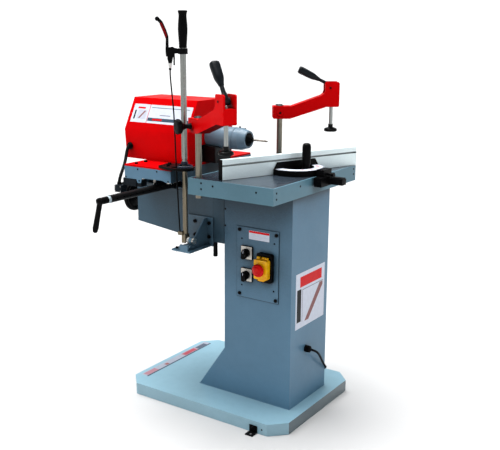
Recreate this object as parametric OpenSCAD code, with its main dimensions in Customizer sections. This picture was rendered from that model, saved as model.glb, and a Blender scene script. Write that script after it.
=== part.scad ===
// Slot mortiser: a free-standing wood machine that drills and mills slots.
// A horizontal spindle rides on a two-way carriage beside a fixed work table.
// X is the drilling direction, Y the slot direction (operator at -Y), Z is up.
// The origin is the centre of the base plate, on the floor. Millimetres.

/* [Base and column] */
// Length of the base plate along the drilling direction
base_l = 700; // [680:2:720]
// Width of the base plate along the slot direction
base_w = 531; // [525:1:545]
// Height of the folded base plate
base_h = 43.6; // [40:0.2:46]
// Corner chamfer of the base plate
base_c = 55; // [40:1:65]
// Half width of the column along Y
col_hw = 128; // [126:1:130]
// Height of the flared foot of the column above the floor
flare_z = 214.6; // [190:0.2:240]

/* [Table] */
// Height of the table surface above the floor
table_z = 868.4; // [868:0.1:869]
// Half length of the table along Y
table_hw = 284; // [282:1:288]
// Height of the apron round the table
apron_h = 55.8; // [54:0.1:56]

/* [Clamps] */
// Turn of the front clamp arm in plan, degrees from +X
arm1_turn = -26.5; // [-28:0.5:-20]
// Turn of the rear clamp arm in plan, degrees from +X
arm2_turn = 37; // [30:1:45]
// Lean of the front cam lever, degrees from the arm direction
cam1_lean = 126; // [110:1:135]
// Lean of the rear cam lever, degrees from the arm direction
cam2_lean = 154; // [140:1:156]
// Width of a clamp arm
arm_w = 48; // [44:1:50]

/* [Fence] */
// Length of the angle fence
fence_l = 590; // [560:2:600]
// Height of the angle fence
fence_h = 68; // [60:1:70]
// Turn of the fence in plan, degrees from +X
fence_turn = 68.6; // [66:0.2:72]

/* [Hand lever] */
// Height of the top of the hand grip
grip_top = 1415; // [1400:1:1420]
// Radius of the lever tube
tube_r = 10.2; // [9:0.1:10.4]

/* [Hidden] */
$fn = 48;

grey = [0.40, 0.53, 0.61]; red = [0.82, 0.05, 0.05]; black = [0.06, 0.06, 0.07];
steel = [0.62, 0.62, 0.60]; silver = [0.78, 0.80, 0.82]; yellow = [0.96, 0.72, 0.05];

g = 0.3;                       // gap between neighbours that move apart
rf = 0.05;                     // running clearance of a shaft in its hole
bl = base_l / 2; bw = base_w / 2;
col_x0 = 19.5; col_x1 = 300.2; foot_x = -97.6;
tab_x0 = -19.7; tab_x1 = 322; tab_b = table_z - apron_h; plate_t = 20;
post1 = [3, -253]; post2 = [6.5, 253]; post_r = 11; boss_z1 = 1016; boss_z2 = 1020;
slot_y = 22; slot_w = 20; slot_d = 10;              // guide slot of the angle gauge
lev = [-80, -225]; piv_z = 632;                     // hand lever axis and pivot height
hs_x = -34.5;                                      // height screw
bar_x = -208; bar_z = 803; bar_r = 13;              // index bar
xr_y = 80; xr_z = 765; yr_x = [-139, -269]; yr_z = 838; rod_r = 10;
ax_z = 971;                                         // spindle axis height
car_x0 = -337.5; car_x1 = -123; car_hw = 249; car_top = 874;
plate_top = 881;
hw_c = [-69, 722];                                  // handwheel axis (y, z)
gp = [222, slot_y];                                 // pivot of the angle gauge
br_a = 214;                                         // plan direction of the brake lever
panel_y = -col_hw - 3;
cord_d = 8;

// places of screws, shared by the holes and the screws
panel_big = [[88, 675], [240, 674], [88, 441.5], [239.5, 440.5]];
panel_small = [[97, 643.5], [231.5, 643], [97, 473.5], [230.8, 472.5]];
apron_front = [[36, 856], [36, 836], [84, 850.5], [256, 849.5]];
apron_right = [[-266, 852], [-266, 832], [-118.5, 851.5], [122, 854], [267.5, 856.5], [267.5, 837.5]];
edge_screws = [[23.6, 739], [23.6, 679]];
way_bolts = [for (z = [650, 770], y = [-45, 45]) [y, z]];
foot_bolts = [for (x = [-20, 275], y = [-108, 108]) [x, y]];
brk_bolts = [[-106.5, 679], [-42.5, 679], [-106.5, 629], [-42.5, 629]];

// route of the mains lead from its boot, and of the motor lead (hand-laid)
cord_pts = [
  [322.3, -20, 241.6], [329, -19, 240.8], [334, -13.5, 237.2], [336, -4, 231], [335.5, 7, 223], [333, 20, 213], [329, 34.5, 201],
  [325, 50, 186.5], [321, 66, 171], [317, 82, 156], [313, 98, 142], [309, 113, 129.5], [305.8, 125.5, 119.5], [300.5, 134, 112],
  [291, 140, 105], [278, 146.5, 98], [262, 153, 90.5], [246, 158, 83], [229, 161.5, 75], [213, 162.5, 66.5], [197, 160.3, 58.5],
  [181, 156, 52.3], [165, 151, 48.8], [150, 147, 47.8], [135, 144.6, 47.7], [120, 144, 47.7]];
mcab_pts = [
  [-411, -125, 928], [-411, -134, 928], [-411, -144, 926], [-409, -153, 917], [-405.5, -162, 904], [-401, -171, 892], [-395.5, -181, 880],
  [-389.5, -193, 868], [-384, -206, 856.5], [-378.5, -219, 845], [-374, -231, 833], [-371, -240, 821], [-370, -244, 811], [-370, -244, 801]];
// brake lead in the lever's own frame: outward distance, height
bcab_pts = [
  [44, 1220], [44, 1206], [42.5, 1180], [40, 1150], [37, 1115], [34.5, 1080], [33, 1045], [32, 1010], [31, 975],
  [30, 940], [29, 905], [27.5, 865], [26, 825], [24.5, 785], [23, 745], [21.5, 710], [20, 680], [19, 662]];

// ---------- helpers ----------
module blk(x0, x1, y0, y1, z0, z1) translate([x0, y0, z0]) cube([x1 - x0, y1 - y0, z1 - z0]);
module rx(x0, x1, y, z, r, r2 = -1) translate([x0, y, z]) rotate([0, 90, 0]) cylinder(h = x1 - x0, r1 = r, r2 = r2 < 0 ? r : r2);
module ry(y0, y1, x, z, r, r2 = -1) translate([x, y0, z]) rotate([-90, 0, 0]) cylinder(h = y1 - y0, r1 = r, r2 = r2 < 0 ? r : r2);
module rz(z0, z1, x, y, r, r2 = -1) translate([x, y, z0]) cylinder(h = z1 - z0, r1 = r, r2 = r2 < 0 ? r : r2);
// outline in X and Z, run along Y
module prism_y(pts, y0, y1) translate([0, y1, 0]) rotate([90, 0, 0]) linear_extrude(y1 - y0) polygon(pts);
// outline in Y and Z, run along X
module prism_x(pts, x0, x1) translate([x0, 0, 0]) rotate([90, 0, 90]) linear_extrude(x1 - x0) polygon(pts);
// rounded block with its round corners along Y
module rblk_y(x0, x1, z0, z1, y0, y1, r) translate([0, y1, 0]) rotate([90, 0, 0]) linear_extrude(y1 - y0) rsq(x0, x1, z0, z1, r);
module rblk_z(x0, x1, y0, y1, z0, z1, r) translate([0, 0, z0]) linear_extrude(z1 - z0) rsq(x0, x1, y0, y1, r);
module rsq(x0, x1, y0, y1, r) {
  translate([x0 + r, y0]) square([x1 - x0 - 2 * r, y1 - y0]);
  translate([x0, y0 + r]) square([x1 - x0, y1 - y0 - 2 * r]);
  for (x = [x0 + r, x1 - r], y = [y0 + r, y1 - r]) translate([x, y]) circle(r);
}
function oct(a, b, c) = [[-a + c, -b], [a - c, -b], [a, -b + c], [a, b - c], [a - c, b], [-a + c, b], [-a, b - c], [-a, -b + c]];

// round tube along a list of points, one closed solid
function unit(v) = v / norm(v);
function dirs(p) = [for (i = [0 : len(p) - 1]) unit(p[min(i + 1, len(p) - 1)] - p[max(i - 1, 0)])];
module tube(p, r, n = 10) {
  d = dirs(p);
  ref = [0.31, 0.27, 0.91];
  ring = [for (i = [0 : len(p) - 1]) let (a = unit(cross(d[i], cross(ref, d[i]))), b = cross(d[i], a))
    for (k = [0 : n - 1]) p[i] + r * (cos(360 * k / n) * a + sin(360 * k / n) * b)];
  m = len(p);
  side = [for (i = [0 : m - 2], k = [0 : n - 1]) [i * n + k, i * n + (k + 1) % n, (i + 1) * n + (k + 1) % n, (i + 1) * n + k]];
  polyhedron(concat(ring, []), concat([for (f = side) [f[3], f[2], f[1], f[0]]],
    [[for (k = [0 : n - 1]) k]], [[for (k = [n - 1 : -1 : 0]) (m - 1) * n + k]]));
}
module at_lever() translate([lev[0], lev[1], 0]) rotate([0, 0, br_a]) children();
module at_arm(i) translate(i == 1 ? [post1[0], post1[1], boss_z1] : [post2[0], post2[1], boss_z2]) rotate([0, 0, i == 1 ? arm1_turn : arm2_turn]) children();
module at_fence() translate([gp[0], gp[1], 0]) rotate([0, 0, fence_turn]) children();

// ---------- stand ----------
module base_plate() color(grey) difference() {
  linear_extrude(base_h) polygon(oct(bl, bw, base_c));
  translate([0, 0, -1]) linear_extrude(base_h - 5) polygon(oct(bl - 5, bw - 5, base_c - 2.93));
  for (b = foot_bolts) rz(0, base_h + 1, b[0], b[1], 6.1);
  for (s = [-1, 1]) ry(min(s * (bw - 6), s * (bw + 1)), max(s * (bw - 6), s * (bw + 1)), 240.4, 16, 4.1);
}
module column() color(grey) difference() {
  prism_y([[foot_x, base_h], [col_x1, base_h], [col_x1, tab_b], [col_x0, tab_b], [col_x0, flare_z]], -col_hw, col_hw);
  prism_y([[foot_x + 10.3, base_h + 8], [col_x1 - 4, base_h + 8], [col_x1 - 4, tab_b - 8], [col_x0 + 4, tab_b - 8], [col_x0 + 4, flare_z - 1.2]], -col_hw + 4, col_hw - 4);
  blk(5, 250, -92, 92, base_h - 1, base_h + 9);
  blk(90, 236, -col_hw - 1, -col_hw + 5, 452, 664);
  rx(col_x1 - 5, col_x1 + 1, -20, 241.6, 10);
  for (b = panel_big) ry(-col_hw - 1, -col_hw + 5, b[0], b[1], 3);
  for (b = edge_screws) ry(-col_hw - 1, -col_hw + 3, b[0], b[1], 2.1);
  for (b = way_bolts) rx(col_x0 - 1, col_x0 + 5, b[0], b[1], 5.1);
  for (b = foot_bolts) rz(base_h - 1, base_h + 9, b[0], b[1], 6.1);
}
module floor_brackets() color(black) for (s = [-1, 1]) difference() {
  union() {
    if (s < 0) { blk(224.5, 256.5, -bw - 3, -bw, 0, 27); blk(224.5, 256.5, -bw - 31, -bw, 0, 3); }
    else { blk(224.5, 256.5, bw, bw + 3, 0, 27); blk(224.5, 256.5, bw, bw + 31, 0, 3); }
  }
  ry(min(s * (bw - 1), s * (bw + 4)), max(s * (bw - 1), s * (bw + 4)), 240.4, 16, 4.1);
  rz(-1, 4, 240.4, s * (bw + 18), 4.5);
}
module table_frame() color(grey) difference() {
  union() {
    difference() {
      blk(tab_x0, tab_x1, -table_hw, table_hw, tab_b, table_z);
      blk(tab_x0 + 6, tab_x1 - 6, -table_hw + 6, table_hw - 6, tab_b - 1, table_z + 1);
    }
    for (x = [60, 220]) blk(x, x + 40, -table_hw + 5, table_hw - 5, tab_b, table_z - plate_t);
    for (s = [-1, 1]) blk(tab_x0 + 5, 45, min(s * 233, s * (table_hw - 5)), max(s * 233, s * (table_hw - 5)), tab_b + 3, table_z - plate_t);
  }
  blk(tab_x1 - 8, tab_x1 + 1, slot_y - slot_w / 2 - 0.2, slot_y + slot_w / 2 + 0.2, table_z - slot_d - 0.2, table_z + 1);
  rz(tab_b - 1, table_z, post1[0], post1[1], post_r + rf);
  rz(tab_b - 1, table_z, post2[0], post2[1], post_r + rf);
  for (b = apron_front) { ry(-table_hw - 1, -table_hw + 5, b[0], b[1], 2.6); ry(table_hw - 5, table_hw + 1, b[0], b[1], 2.6); }
  for (b = apron_right) rx(tab_x1 - 5, tab_x1 + 1, b[0], b[1], 2.6);
}
module table_top() color([0.42, 0.43, 0.47]) difference() {
  blk(tab_x0 + 6, tab_x1 - 6, -table_hw + 6, table_hw - 6, table_z - plate_t, table_z);
  blk(60, tab_x1, slot_y - slot_w / 2, slot_y + slot_w / 2, table_z - slot_d, table_z + 1);
  rz(table_z - plate_t - 1, table_z + 1, post1[0], post1[1], post_r + rf);
  rz(table_z - plate_t - 1, table_z + 1, post2[0], post2[1], post_r + rf);
}
module column_way() color([0.34, 0.44, 0.52]) difference() {
  union() {
    translate([0, 0, 600]) linear_extrude(206) polygon([[col_x0, -72], [col_x0, 72], [-5, 90], [-5, -90]]);
    blk(-30, 17, -121, -70, 797, 806);
    blk(-52, -29, -121, -94, 797, 806);
  }
  for (b = way_bolts) rx(0, col_x0 + 1, b[0], b[1], 5.1);
  rz(790, 810, hs_x, -109, 8 + rf);
}

// ---------- controls ----------
sw1 = [121, 596]; sw2 = [121, 515.5];
es_x0 = 169; es_x1 = 231; es_z0 = 503; es_z1 = 606; es_y = panel_y - 16;
fl_x0 = 172; fl_x1 = 225; fl_z0 = 519; fl_z1 = 588; fl_y0 = es_y - 21; fl_y1 = es_y - g; fl_hz = 593; fl_hy = es_y - 6;
mb = [195, 553];
sb = [190, 572];
module control_panel() color(grey) difference() {
  blk(76, 249, panel_y, -col_hw, 430, 686);
  for (b = panel_big) ry(panel_y - 1, -col_hw + 1, b[0], b[1], 3);
  for (b = panel_small) ry(panel_y - 1, -col_hw + 1, b[0], b[1], 1.6);
  for (s = [sw1, sw2]) ry(panel_y - 1, -col_hw + 1, s[0], s[1], 8);
}
module switch_plates() color(silver) for (s = [sw1, sw2]) difference() {
  rblk_y(s[0] - 23.5, s[0] + 23.5, s[1] - 23.5, s[1] + 23.5, panel_y - 7, panel_y, 2.5);
  ry(panel_y - 8, panel_y + 1, s[0], s[1], 5 + rf);
}
module rotary_knob(s, a) color(black) translate([s[0], 0, s[1]]) rotate([0, a, 0]) {
  ry(panel_y - 12, panel_y + 8, 0, 0, 5);
  ry(panel_y - 14, panel_y - 7 - g, 0, 0, 15);
  rblk_y(-7, 7, -19, 14, panel_y - 30, panel_y - 13, 4);
}
module rotary_knob_1() rotary_knob(sw1, 8);
module rotary_knob_2() rotary_knob(sw2, 0);
module estop_box() color(black) difference() {
  rblk_y(es_x0, es_x1, es_z0, es_z1, es_y, panel_y, 8);
  ry(es_y - 1, es_y + 12, sb[0], sb[1], 8 + rf);
}
module start_button() color([0.1, 0.5, 0.2]) ry(es_y - 5, es_y + 6, sb[0], sb[1], 8);
module estop_flap() color(yellow) difference() {
  union() {
    rblk_y(fl_x0, fl_x1, fl_z0, fl_z1, fl_y0, fl_y1, 5);
    for (x = [fl_x0 + 4, fl_x0 + 24, fl_x1 - 16]) { blk(x, x + 12, fl_hy - 3.5, fl_hy + 2.5, fl_z1 - 4, fl_hz); rx(x, x + 12, fl_hy, fl_hz, 3.5); }
    rblk_y(fl_x0 + 14, fl_x1 - 14, fl_z0 - 7, fl_z0 + 5, fl_y0 + 4, fl_y1 - 2, 2);
  }
  rblk_y(fl_x0 + 3, fl_x1 - 3, fl_z0 + 3, fl_z1 - 3, fl_y0 + 3.5, fl_y1 + 1, 3);
  ry(fl_y0 - 1, fl_y0 + 5, mb[0], mb[1], 7 + rf);
}
module estop_button() color([0.85, 0.08, 0.06]) {
  ry(fl_y0 - 12, fl_y0 + 9, mb[0], mb[1], 7);
  translate([mb[0], fl_y0 - 6, mb[1]]) rotate([90, 0, 0]) rotate_extrude() polygon([[0, 0], [20, 0], [22.5, 3], [23, 6], [22, 10], [18, 13], [10, 15], [0, 15.5]]);
}

// ---------- fasteners on the stand ----------
module frame_screws() color(black) {
  for (b = panel_big) { ry(panel_y - 4.5, panel_y, b[0], b[1], 5.5); ry(panel_y, panel_y + 12, b[0], b[1], 2.9); }
  for (b = edge_screws) { ry(-col_hw - 1.6, -col_hw, b[0], b[1], 3.4); ry(-col_hw, -col_hw + 3, b[0], b[1], 2); }
  ry(-bw - 1, -bw, 274.6, 18.5, 3);
  for (b = panel_small) { ry(panel_y - 1.5, panel_y, b[0], b[1], 2.6); ry(panel_y, panel_y + 3, b[0], b[1], 1.5); }
  for (b = apron_front) {
    ry(-table_hw - 1, -table_hw, b[0], b[1], 3.5); ry(-table_hw, -table_hw + 5, b[0], b[1], 2.5);
    ry(table_hw, table_hw + 1, b[0], b[1], 3.5); ry(table_hw - 5, table_hw, b[0], b[1], 2.5);
  }
  for (b = apron_right) { rx(tab_x1, tab_x1 + 1, b[0], b[1], 3.5); rx(tab_x1 - 5, tab_x1, b[0], b[1], 2.5); }
  for (b = way_bolts) { rx(col_x0 + 4, col_x0 + 11, b[0], b[1], 8.5, 8.5); rx(2, col_x0 + 4, b[0], b[1], 5); }
  for (b = foot_bolts) { translate([b[0], b[1], base_h + 8]) cylinder(h = 7, r = 10, $fn = 6); rz(base_h - 12, base_h + 8, b[0], b[1], 6); }
  for (s = [-1, 1]) {
    ry(s < 0 ? -bw - 7 : bw + 3, s < 0 ? -bw - 3 : bw + 7, 240.4, 16, 6.5);
    ry(s < 0 ? -bw - 3 : bw - 10, s < 0 ? -bw + 10 : bw + 3, 240.4, 16, 4);
  }
}

// ---------- mains lead ----------
module cord_gland() color(black) {
  translate([col_x1, -20, 241.6]) rotate([0, 90, 0]) cylinder(h = 8, r = 14, $fn = 6);
  rx(col_x1 + 8, col_x1 + 18, -20, 241.6, 12.8, 12);
  rx(col_x1 + 18, 322.2, -20, 241.6, 12, 6.5);
  rx(col_x1 - 10, col_x1, -20, 241.6, 9.95);
}
module mains_cord() color(black) tube(cord_pts, cord_d / 2, 10);
module mains_coil() color(black) translate([120, 197, base_h]) rotate_extrude() translate([33, 0.1]) rsq(0, 24, 0, 17, 4);
module mains_plug() color(black) {
  rx(22, 66, 148, base_h + 18.1, 18);
  rx(66, 96, 148, base_h + 18.1, 11, 6);
  rx(4, 22, 148, base_h + 18.1, 16.5);
  for (s = [-1, 1]) rx(-14, 4, 148 + s * 9.5, base_h + 18.1, 2.4);
}

// ---------- knee ----------
module knee_housing() color(grey) difference() {
  union() {
    difference() {
      prism_y([[-387, 642], [-31, 603], [-31, 785], [-387, 785]], -col_hw, col_hw);
      prism_y([[-381, 648.5], [-37, 610.5], [-37, 800], [-381, 800]], -col_hw + 6, col_hw - 6);
    }
    blk(-32, 16.8, -col_hw + 0.5, col_hw - 0.5, 610, 770);
    blk(-52, -31, -123, -94, 610, 770);
    blk(-389, -380, hw_c[0] - 22, hw_c[0] + 22, hw_c[1] - 22, hw_c[1] + 22);
  }
  blk(-38, -30, -121.9, -66, 770, 790);
  translate([0, 0, 600]) linear_extrude(206) polygon([[col_x0, -72.6], [col_x0, 72.6], [-5 - g, 90.8], [-5 - g, -90.8]]);
  rx(-392, -379, hw_c[0], hw_c[1], 8 + rf);
  rz(600, 780, hs_x, -109, 8 + rf);
  for (b = brk_bolts) ry(-col_hw - 1, -col_hw + 8, b[0], b[1], 4.1);
}
module cross_rods() color(steel) for (s = [-1, 1]) rx(-381, -37, s * xr_y, xr_z, rod_r);
module lever_bracket() color([0.50, 0.58, 0.64]) difference() {
  union() {
    blk(-138, -28, -col_hw - 6, -col_hw, 594, 700);
    blk(-118, -36, -257, -col_hw - 6, 594, 600);
    translate([-57, 0, 0]) rotate([90, 0, 90]) linear_extrude(5) polygon([[-col_hw - 5, 599], [-col_hw - 5, 697], [-150, 697], [-244, 603], [-244, 599]]);
    rx(-59, -48, lev[1], piv_z, 11.5);
    blk(-82, -46, -257, -249, 599, 620);
  }
  rx(-60, -44, lev[1], piv_z, 8 + rf);
  for (b = brk_bolts) ry(-col_hw - 7, -col_hw + 1, b[0], b[1], 4.1);
  rz(590, 604, -108, -240, 3.1);
}
module knee_screws() color(black) {
  for (b = brk_bolts) { ry(-col_hw - 12, -col_hw - 6, b[0], b[1], 6.5); ry(-col_hw - 6, -col_hw + 6, b[0], b[1], 4); }
  rz(588, 607, -108, -240, 3); rz(600, 604.5, -108, -240, 5);
}
module height_screw() color(black) {
  rz(552, 808, hs_x, -109, 8);
  rz(806 + g, 811, hs_x, -109, 11);
}
module handwheel() color(black) translate([0, hw_c[0], hw_c[1]]) {
  difference() {
    translate([-436, 0, 0]) rotate([0, -90, 0]) rotate_extrude() polygon([[0, 0], [16, 0], [16, 6], [44, 14], [48, 10], [54, 8], [59.5, 13], [59.5, 22], [54, 28], [48, 26], [44, 20], [16, 24], [16, 30], [0, 30]]);
    rx(-480, -420, 0, 0, 6);
  }
  rx(-462, -358, 0, 0, 6);
  rx(-436, -389.3, 0, 0, 8);
  rx(-389.3, -372, 0, 0, 8);
  rx(-478, -458, 0, 38, 4);
  translate([-478, 0, 38]) rotate([0, -90, 0]) rotate_extrude() polygon([[0, 0], [7, 0], [9, 8], [10, 22], [9, 36], [6, 42], [0, 44]]);
}

// ---------- saddle and index bar ----------
module saddle() color(grey) difference() {
  union() {
    blk(-270, -150, -110, 110, 745, 786);
    blk(-290, -128, -100, 100, 785.8, 819);
    blk(-290, -250, -100, 100, 818, 860);
    blk(-163, -128, -100, 100, 818, 860);
    for (y = [-100, 90]) blk(-251, -162, y, y + 10, 818, 856);
  }
  for (s = [-1, 1]) rx(-291, -120, s * xr_y, xr_z, rod_r + rf);
  for (x = yr_x) ry(-101, 101, x, yr_z, rod_r + rf);
  ry(-101, 101, bar_x, bar_z, bar_r + rf);
}
module index_bar() color(black) difference() {
  union() {
    ry(-468, 103, bar_x, bar_z, bar_r);
    ry(-478, -468, bar_x, bar_z, 11);
    ry(103, 109, bar_x, bar_z, 17);
  }
  for (y = [-448 : 25 : -123]) rz(bar_z + 6, bar_z + 20, bar_x, y, 3.2);
  for (y = [-440 : 32 : -120]) rx(bar_x + 6, bar_x + 20, y, bar_z, 3.2);
  for (y = [-444 : 16 : -124]) rx(bar_x - 20, bar_x - 6, y, bar_z, 3.2);
}
module kip_lever() color(black) {
  ry(-496, -478, bar_x, bar_z, 12);
  ry(-518, -496, bar_x, bar_z, 11.5);
  translate([bar_x, -510, bar_z]) sphere(12.5);
  translate([bar_x, -510, bar_z]) rotate([0, 180 + 15, 0]) rotate_extrude() polygon([[0, 0], [9.5, 0], [8.8, 30], [9.4, 70], [10, 98], [8, 110], [4, 114], [0, 115]]);
}

// ---------- carriage ----------
module skirt(y0, y1) prism_y([[car_x0, car_top], [car_x1, car_top], [car_x1, 832.5], [-148, 832], [-160, 837.5], [-256, 836], [-262, 818], [-277, 817.5], [-282, 830.5], [car_x0, 829.5]], y0, y1);
module carriage_tray() color(grey) difference() {
  union() {
    skirt(-car_hw, -car_hw + 3);
    skirt(car_hw - 3, car_hw);
    blk(car_x1 - 3, car_x1, -car_hw, car_hw, 832.5, car_top);
    blk(car_x0, car_x0 + 3, -car_hw, car_hw, 830, car_top);
    blk(car_x0, car_x0 + 3, -206, 206, 795, 832);
    blk(car_x0, car_x1, -car_hw, car_hw, car_top - 3, car_top);
    blk(bar_x - 14, bar_x + 14, -car_hw + 2, -222, 842, car_top - 2);
  }
  rz(830, car_top - 3, bar_x, -234, 5 + rf);
}
module motor_plate() color(red) difference() {
  blk(car_x0 + 0.5, car_x1 - 0.5, -car_hw + 1, car_hw - 1, car_top, plate_top);
  for (b = plate_bolts) rz(car_top - 1, plate_top + 1, b[0], b[1], 4.1);
  for (b = ring_bolts) rz(car_top - 1, plate_top + 1, b[0], b[1], 4.1);
}
plate_bolts = [[-301, -226], [-301, -175], [-301, 226], [-301, 175]];
ring_bolts = [[-163, -205], [-150, -229]];
module carriage_rods() color(steel) for (x = yr_x) ry(-car_hw + 3, car_hw - 3, x, yr_z, rod_r);
cov_x0 = -433.6; cov_x1 = -133;
module motor_cover() color(red) difference() {
  prism_x([[-130, plate_top], [-138, 990], [-78, 1105], [78, 1105], [138, 990], [130, plate_top]], cov_x0, cov_x1);
  prism_x([[-127.5, plate_top - 1], [-135.4, 990], [-76.4, 1102.5], [76.4, 1102.5], [135.4, 990], [127.5, plate_top - 1]], cov_x0 + 2.5, cov_x1 - 2.5);
  rx(cov_x1 - 5, cov_x1 + 1, 0, ax_z, 41);
  blk(cov_x1 - 5, cov_x1 + 1, -58, 58, plate_top - 1, 944);
  ry(-140, -120, -411, 928, 10.2);
  for (z = [950 : 14 : 1048]) blk(cov_x0 - 1, cov_x0 + 4, -60, 60, z, z + 6);
}
module spindle_motor() color(grey) difference() {
  union() {
    rx(-418, -150, 0, ax_z, 72);
    rx(-150, -17, 0, ax_z, 40);
    rx(-17, -15, 0, ax_z, 38);
    rx(-15, 8, 0, ax_z, 39.5);
    rx(8, 36, 0, ax_z, 39, 31);
    for (x = [-390, -230]) blk(x, x + 60, -58, 58, plate_top, 930);
    blk(-150, -78, -48, 48, plate_top, 941);
  }
  rx(4, 40, 0, ax_z, 25);
  rx(-61, 5, 0, ax_z, 8 + rf);
}
module chuck() color(black) {
  rx(-60, 6, 0, ax_z, 8);
  rx(5, 30, 0, ax_z, 20);
  rx(30, 38, 0, ax_z, 22);
  rx(38, 52, 0, ax_z, 19, 9);
}
module drill_bit() color(steel) {
  rx(52, 66, 0, ax_z, 3.2);
  translate([66, 0, ax_z]) rotate([0, 90, 0]) linear_extrude(height = 48, twist = -540, slices = 18) difference() { circle(3.2, $fn = 16); for (a = [0, 180]) rotate(a) translate([3.4, 0]) circle(2.1, $fn = 13); }
}
module ring_plate() color(black) difference() {
  union() {
    rz(plate_top, plate_top + 9, lev[0], lev[1], 36);
    translate([0, 0, plate_top]) linear_extrude(9) polygon([[-186, -186], [-181, -246], [-112, -266], [-80, -261], [-54, -204], [-110, -158]]);
  }
  rz(plate_top - 1, plate_top + 15, lev[0], lev[1], 22);
  translate([lev[0], lev[1], plate_top - 1]) rotate([0, 0, br_a]) { translate([0, -12, 0]) cube([34, 24, 16]); translate([34, 0, 0]) cylinder(h = 16, r = 12); }
  for (b = ring_bolts) rz(plate_top - 1, plate_top + 15, b[0], b[1], 4.1);
}
module motor_cable() color(black) {
  tube(mcab_pts, 6, 12);
  translate([-411, -134.2, 928]) rotate([90, 0, 0]) rotate_extrude() polygon([[5.2, -5], [9.4, -5], [9.4, 0], [13.2, 0], [13.2, 3], [11, 6], [9, 9], [5.2, 9]]);
}
module junction_box() color([0.2, 0.22, 0.24]) {
  rblk_z(-380, -346, -262, -231, 776, 801, 3);
  rblk_z(-347, -284, -249, -214, 803, 829.5, 2);
  blk(-285, -264, -245, -214, 803, 826);
  blk(-351, -342, -246, -233, 790, 812);
}
module carriage_screws() color(black) {
  for (b = plate_bolts) { rz(plate_top, plate_top + 6, b[0], b[1], 6.5); rz(car_top + 0.2, plate_top, b[0], b[1], 4); }
  for (b = ring_bolts) { rz(plate_top + 9, plate_top + 15, b[0], b[1], 6.5); rz(car_top + 0.2, plate_top + 9, b[0], b[1], 4); }
  for (s = [-1, 1]) {
    for (q = [[-275, 867], [-186, 867], [-135.4, 836.5], [-269, 826], [-332, 835]]) ry(s < 0 ? -car_hw - 1.2 : car_hw, s < 0 ? -car_hw : car_hw + 1.2, q[0], q[1], 3.2);
  }
  for (a = [100, 128]) translate([a == 100 ? -8 : 2, 0, ax_z]) rotate([90 - a, 0, 0]) rz(39.5, 44.5, 0, 0, 3.5);
}
module index_pin() color(steel) { rz(817, 862, bar_x, -234, 5); }

// ---------- hand lever ----------
module lever_yoke() color(steel) difference() {
  union() {
    blk(-88, -72, -233, -217, 624, 640);
    rx(-73, -40, lev[1], piv_z, 8);
    rx(-47, -40, lev[1], piv_z, 11);
  }
  ry(-240, -210, lev[0], piv_z, 5 + rf);
}
module hand_lever() color(steel) {
  difference() {
    union() {
      blk(-88, -72, -236.8, -233.3, 622, 654);
      blk(-88, -72, -216.7, -213.2, 622, 654);
      blk(-88, -72, -236.8, -213.2, 644, 654);
      blk(-102, -82, -241, -228, 650, 662);
    }
  }
  ry(-236.8, -213.2, lev[0], piv_z, 5);
  rz(653, 915, lev[0], lev[1], 8.6);
  rz(915, 921, lev[0], lev[1], 8.6, tube_r);
  rz(921, grip_top - 7, lev[0], lev[1], tube_r);
}
module lever_grip() color(black) translate([lev[0], lev[1], 0]) rotate_extrude() polygon([
  [tube_r, 1293], [13, 1293], [13.6, 1305], [15.2, 1340], [15.4, 1356], [14.6, 1380], [14, 1396], [14.6, 1403], [15.6, 1408], [15.4, grip_top - 3], [13.6, grip_top],
  [0, grip_top], [0, grip_top - 7], [tube_r, grip_top - 7]]);
module brake_bracket() color(black) at_lever() {
  difference() {
    union() {
      difference() { rz(1273, 1292, 0, 0, 16); rz(1272, 1293, 0, 0, tube_r); }
      difference() {
        prism_y([[12, 1275], [12, 1290], [28, 1293], [36, 1297], [46, 1295], [52, 1288], [52, 1256], [48, 1243], [38, 1243], [34, 1262], [26, 1275]], -8, 8);
        rz(1270, 1300, 0, 0, 14);
      }
    }
    blk(29, 60, -3.3, 3.3, 1262, 1300);
  }
  ry(-9, 9, 40, 1284, 3);
  rz(1220, 1243, 44, 0, 4.5);
}
module brake_lever() color(black) at_lever() difference() {
  union() {
    ry(-3, 3, 40, 1284, 8);
    prism_y([[40, 1277], [50, 1266], [57, 1264], [58.5, 1285], [56.5, 1325], [65, 1346], [76, 1372], [84, 1381], [80, 1391], [72, 1384], [66, 1377], [55, 1352], [48, 1331], [47.5, 1296], [40, 1291]], -3, 3);
    translate([84.5, 0, 1387]) sphere(7.3);
  }
  ry(-4, 4, 40, 1284, 3 + rf);
}
module brake_cable() color(black) at_lever() tube([for (q = bcab_pts) [q[0], 0, q[1]]], 2.5, 8);

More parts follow.
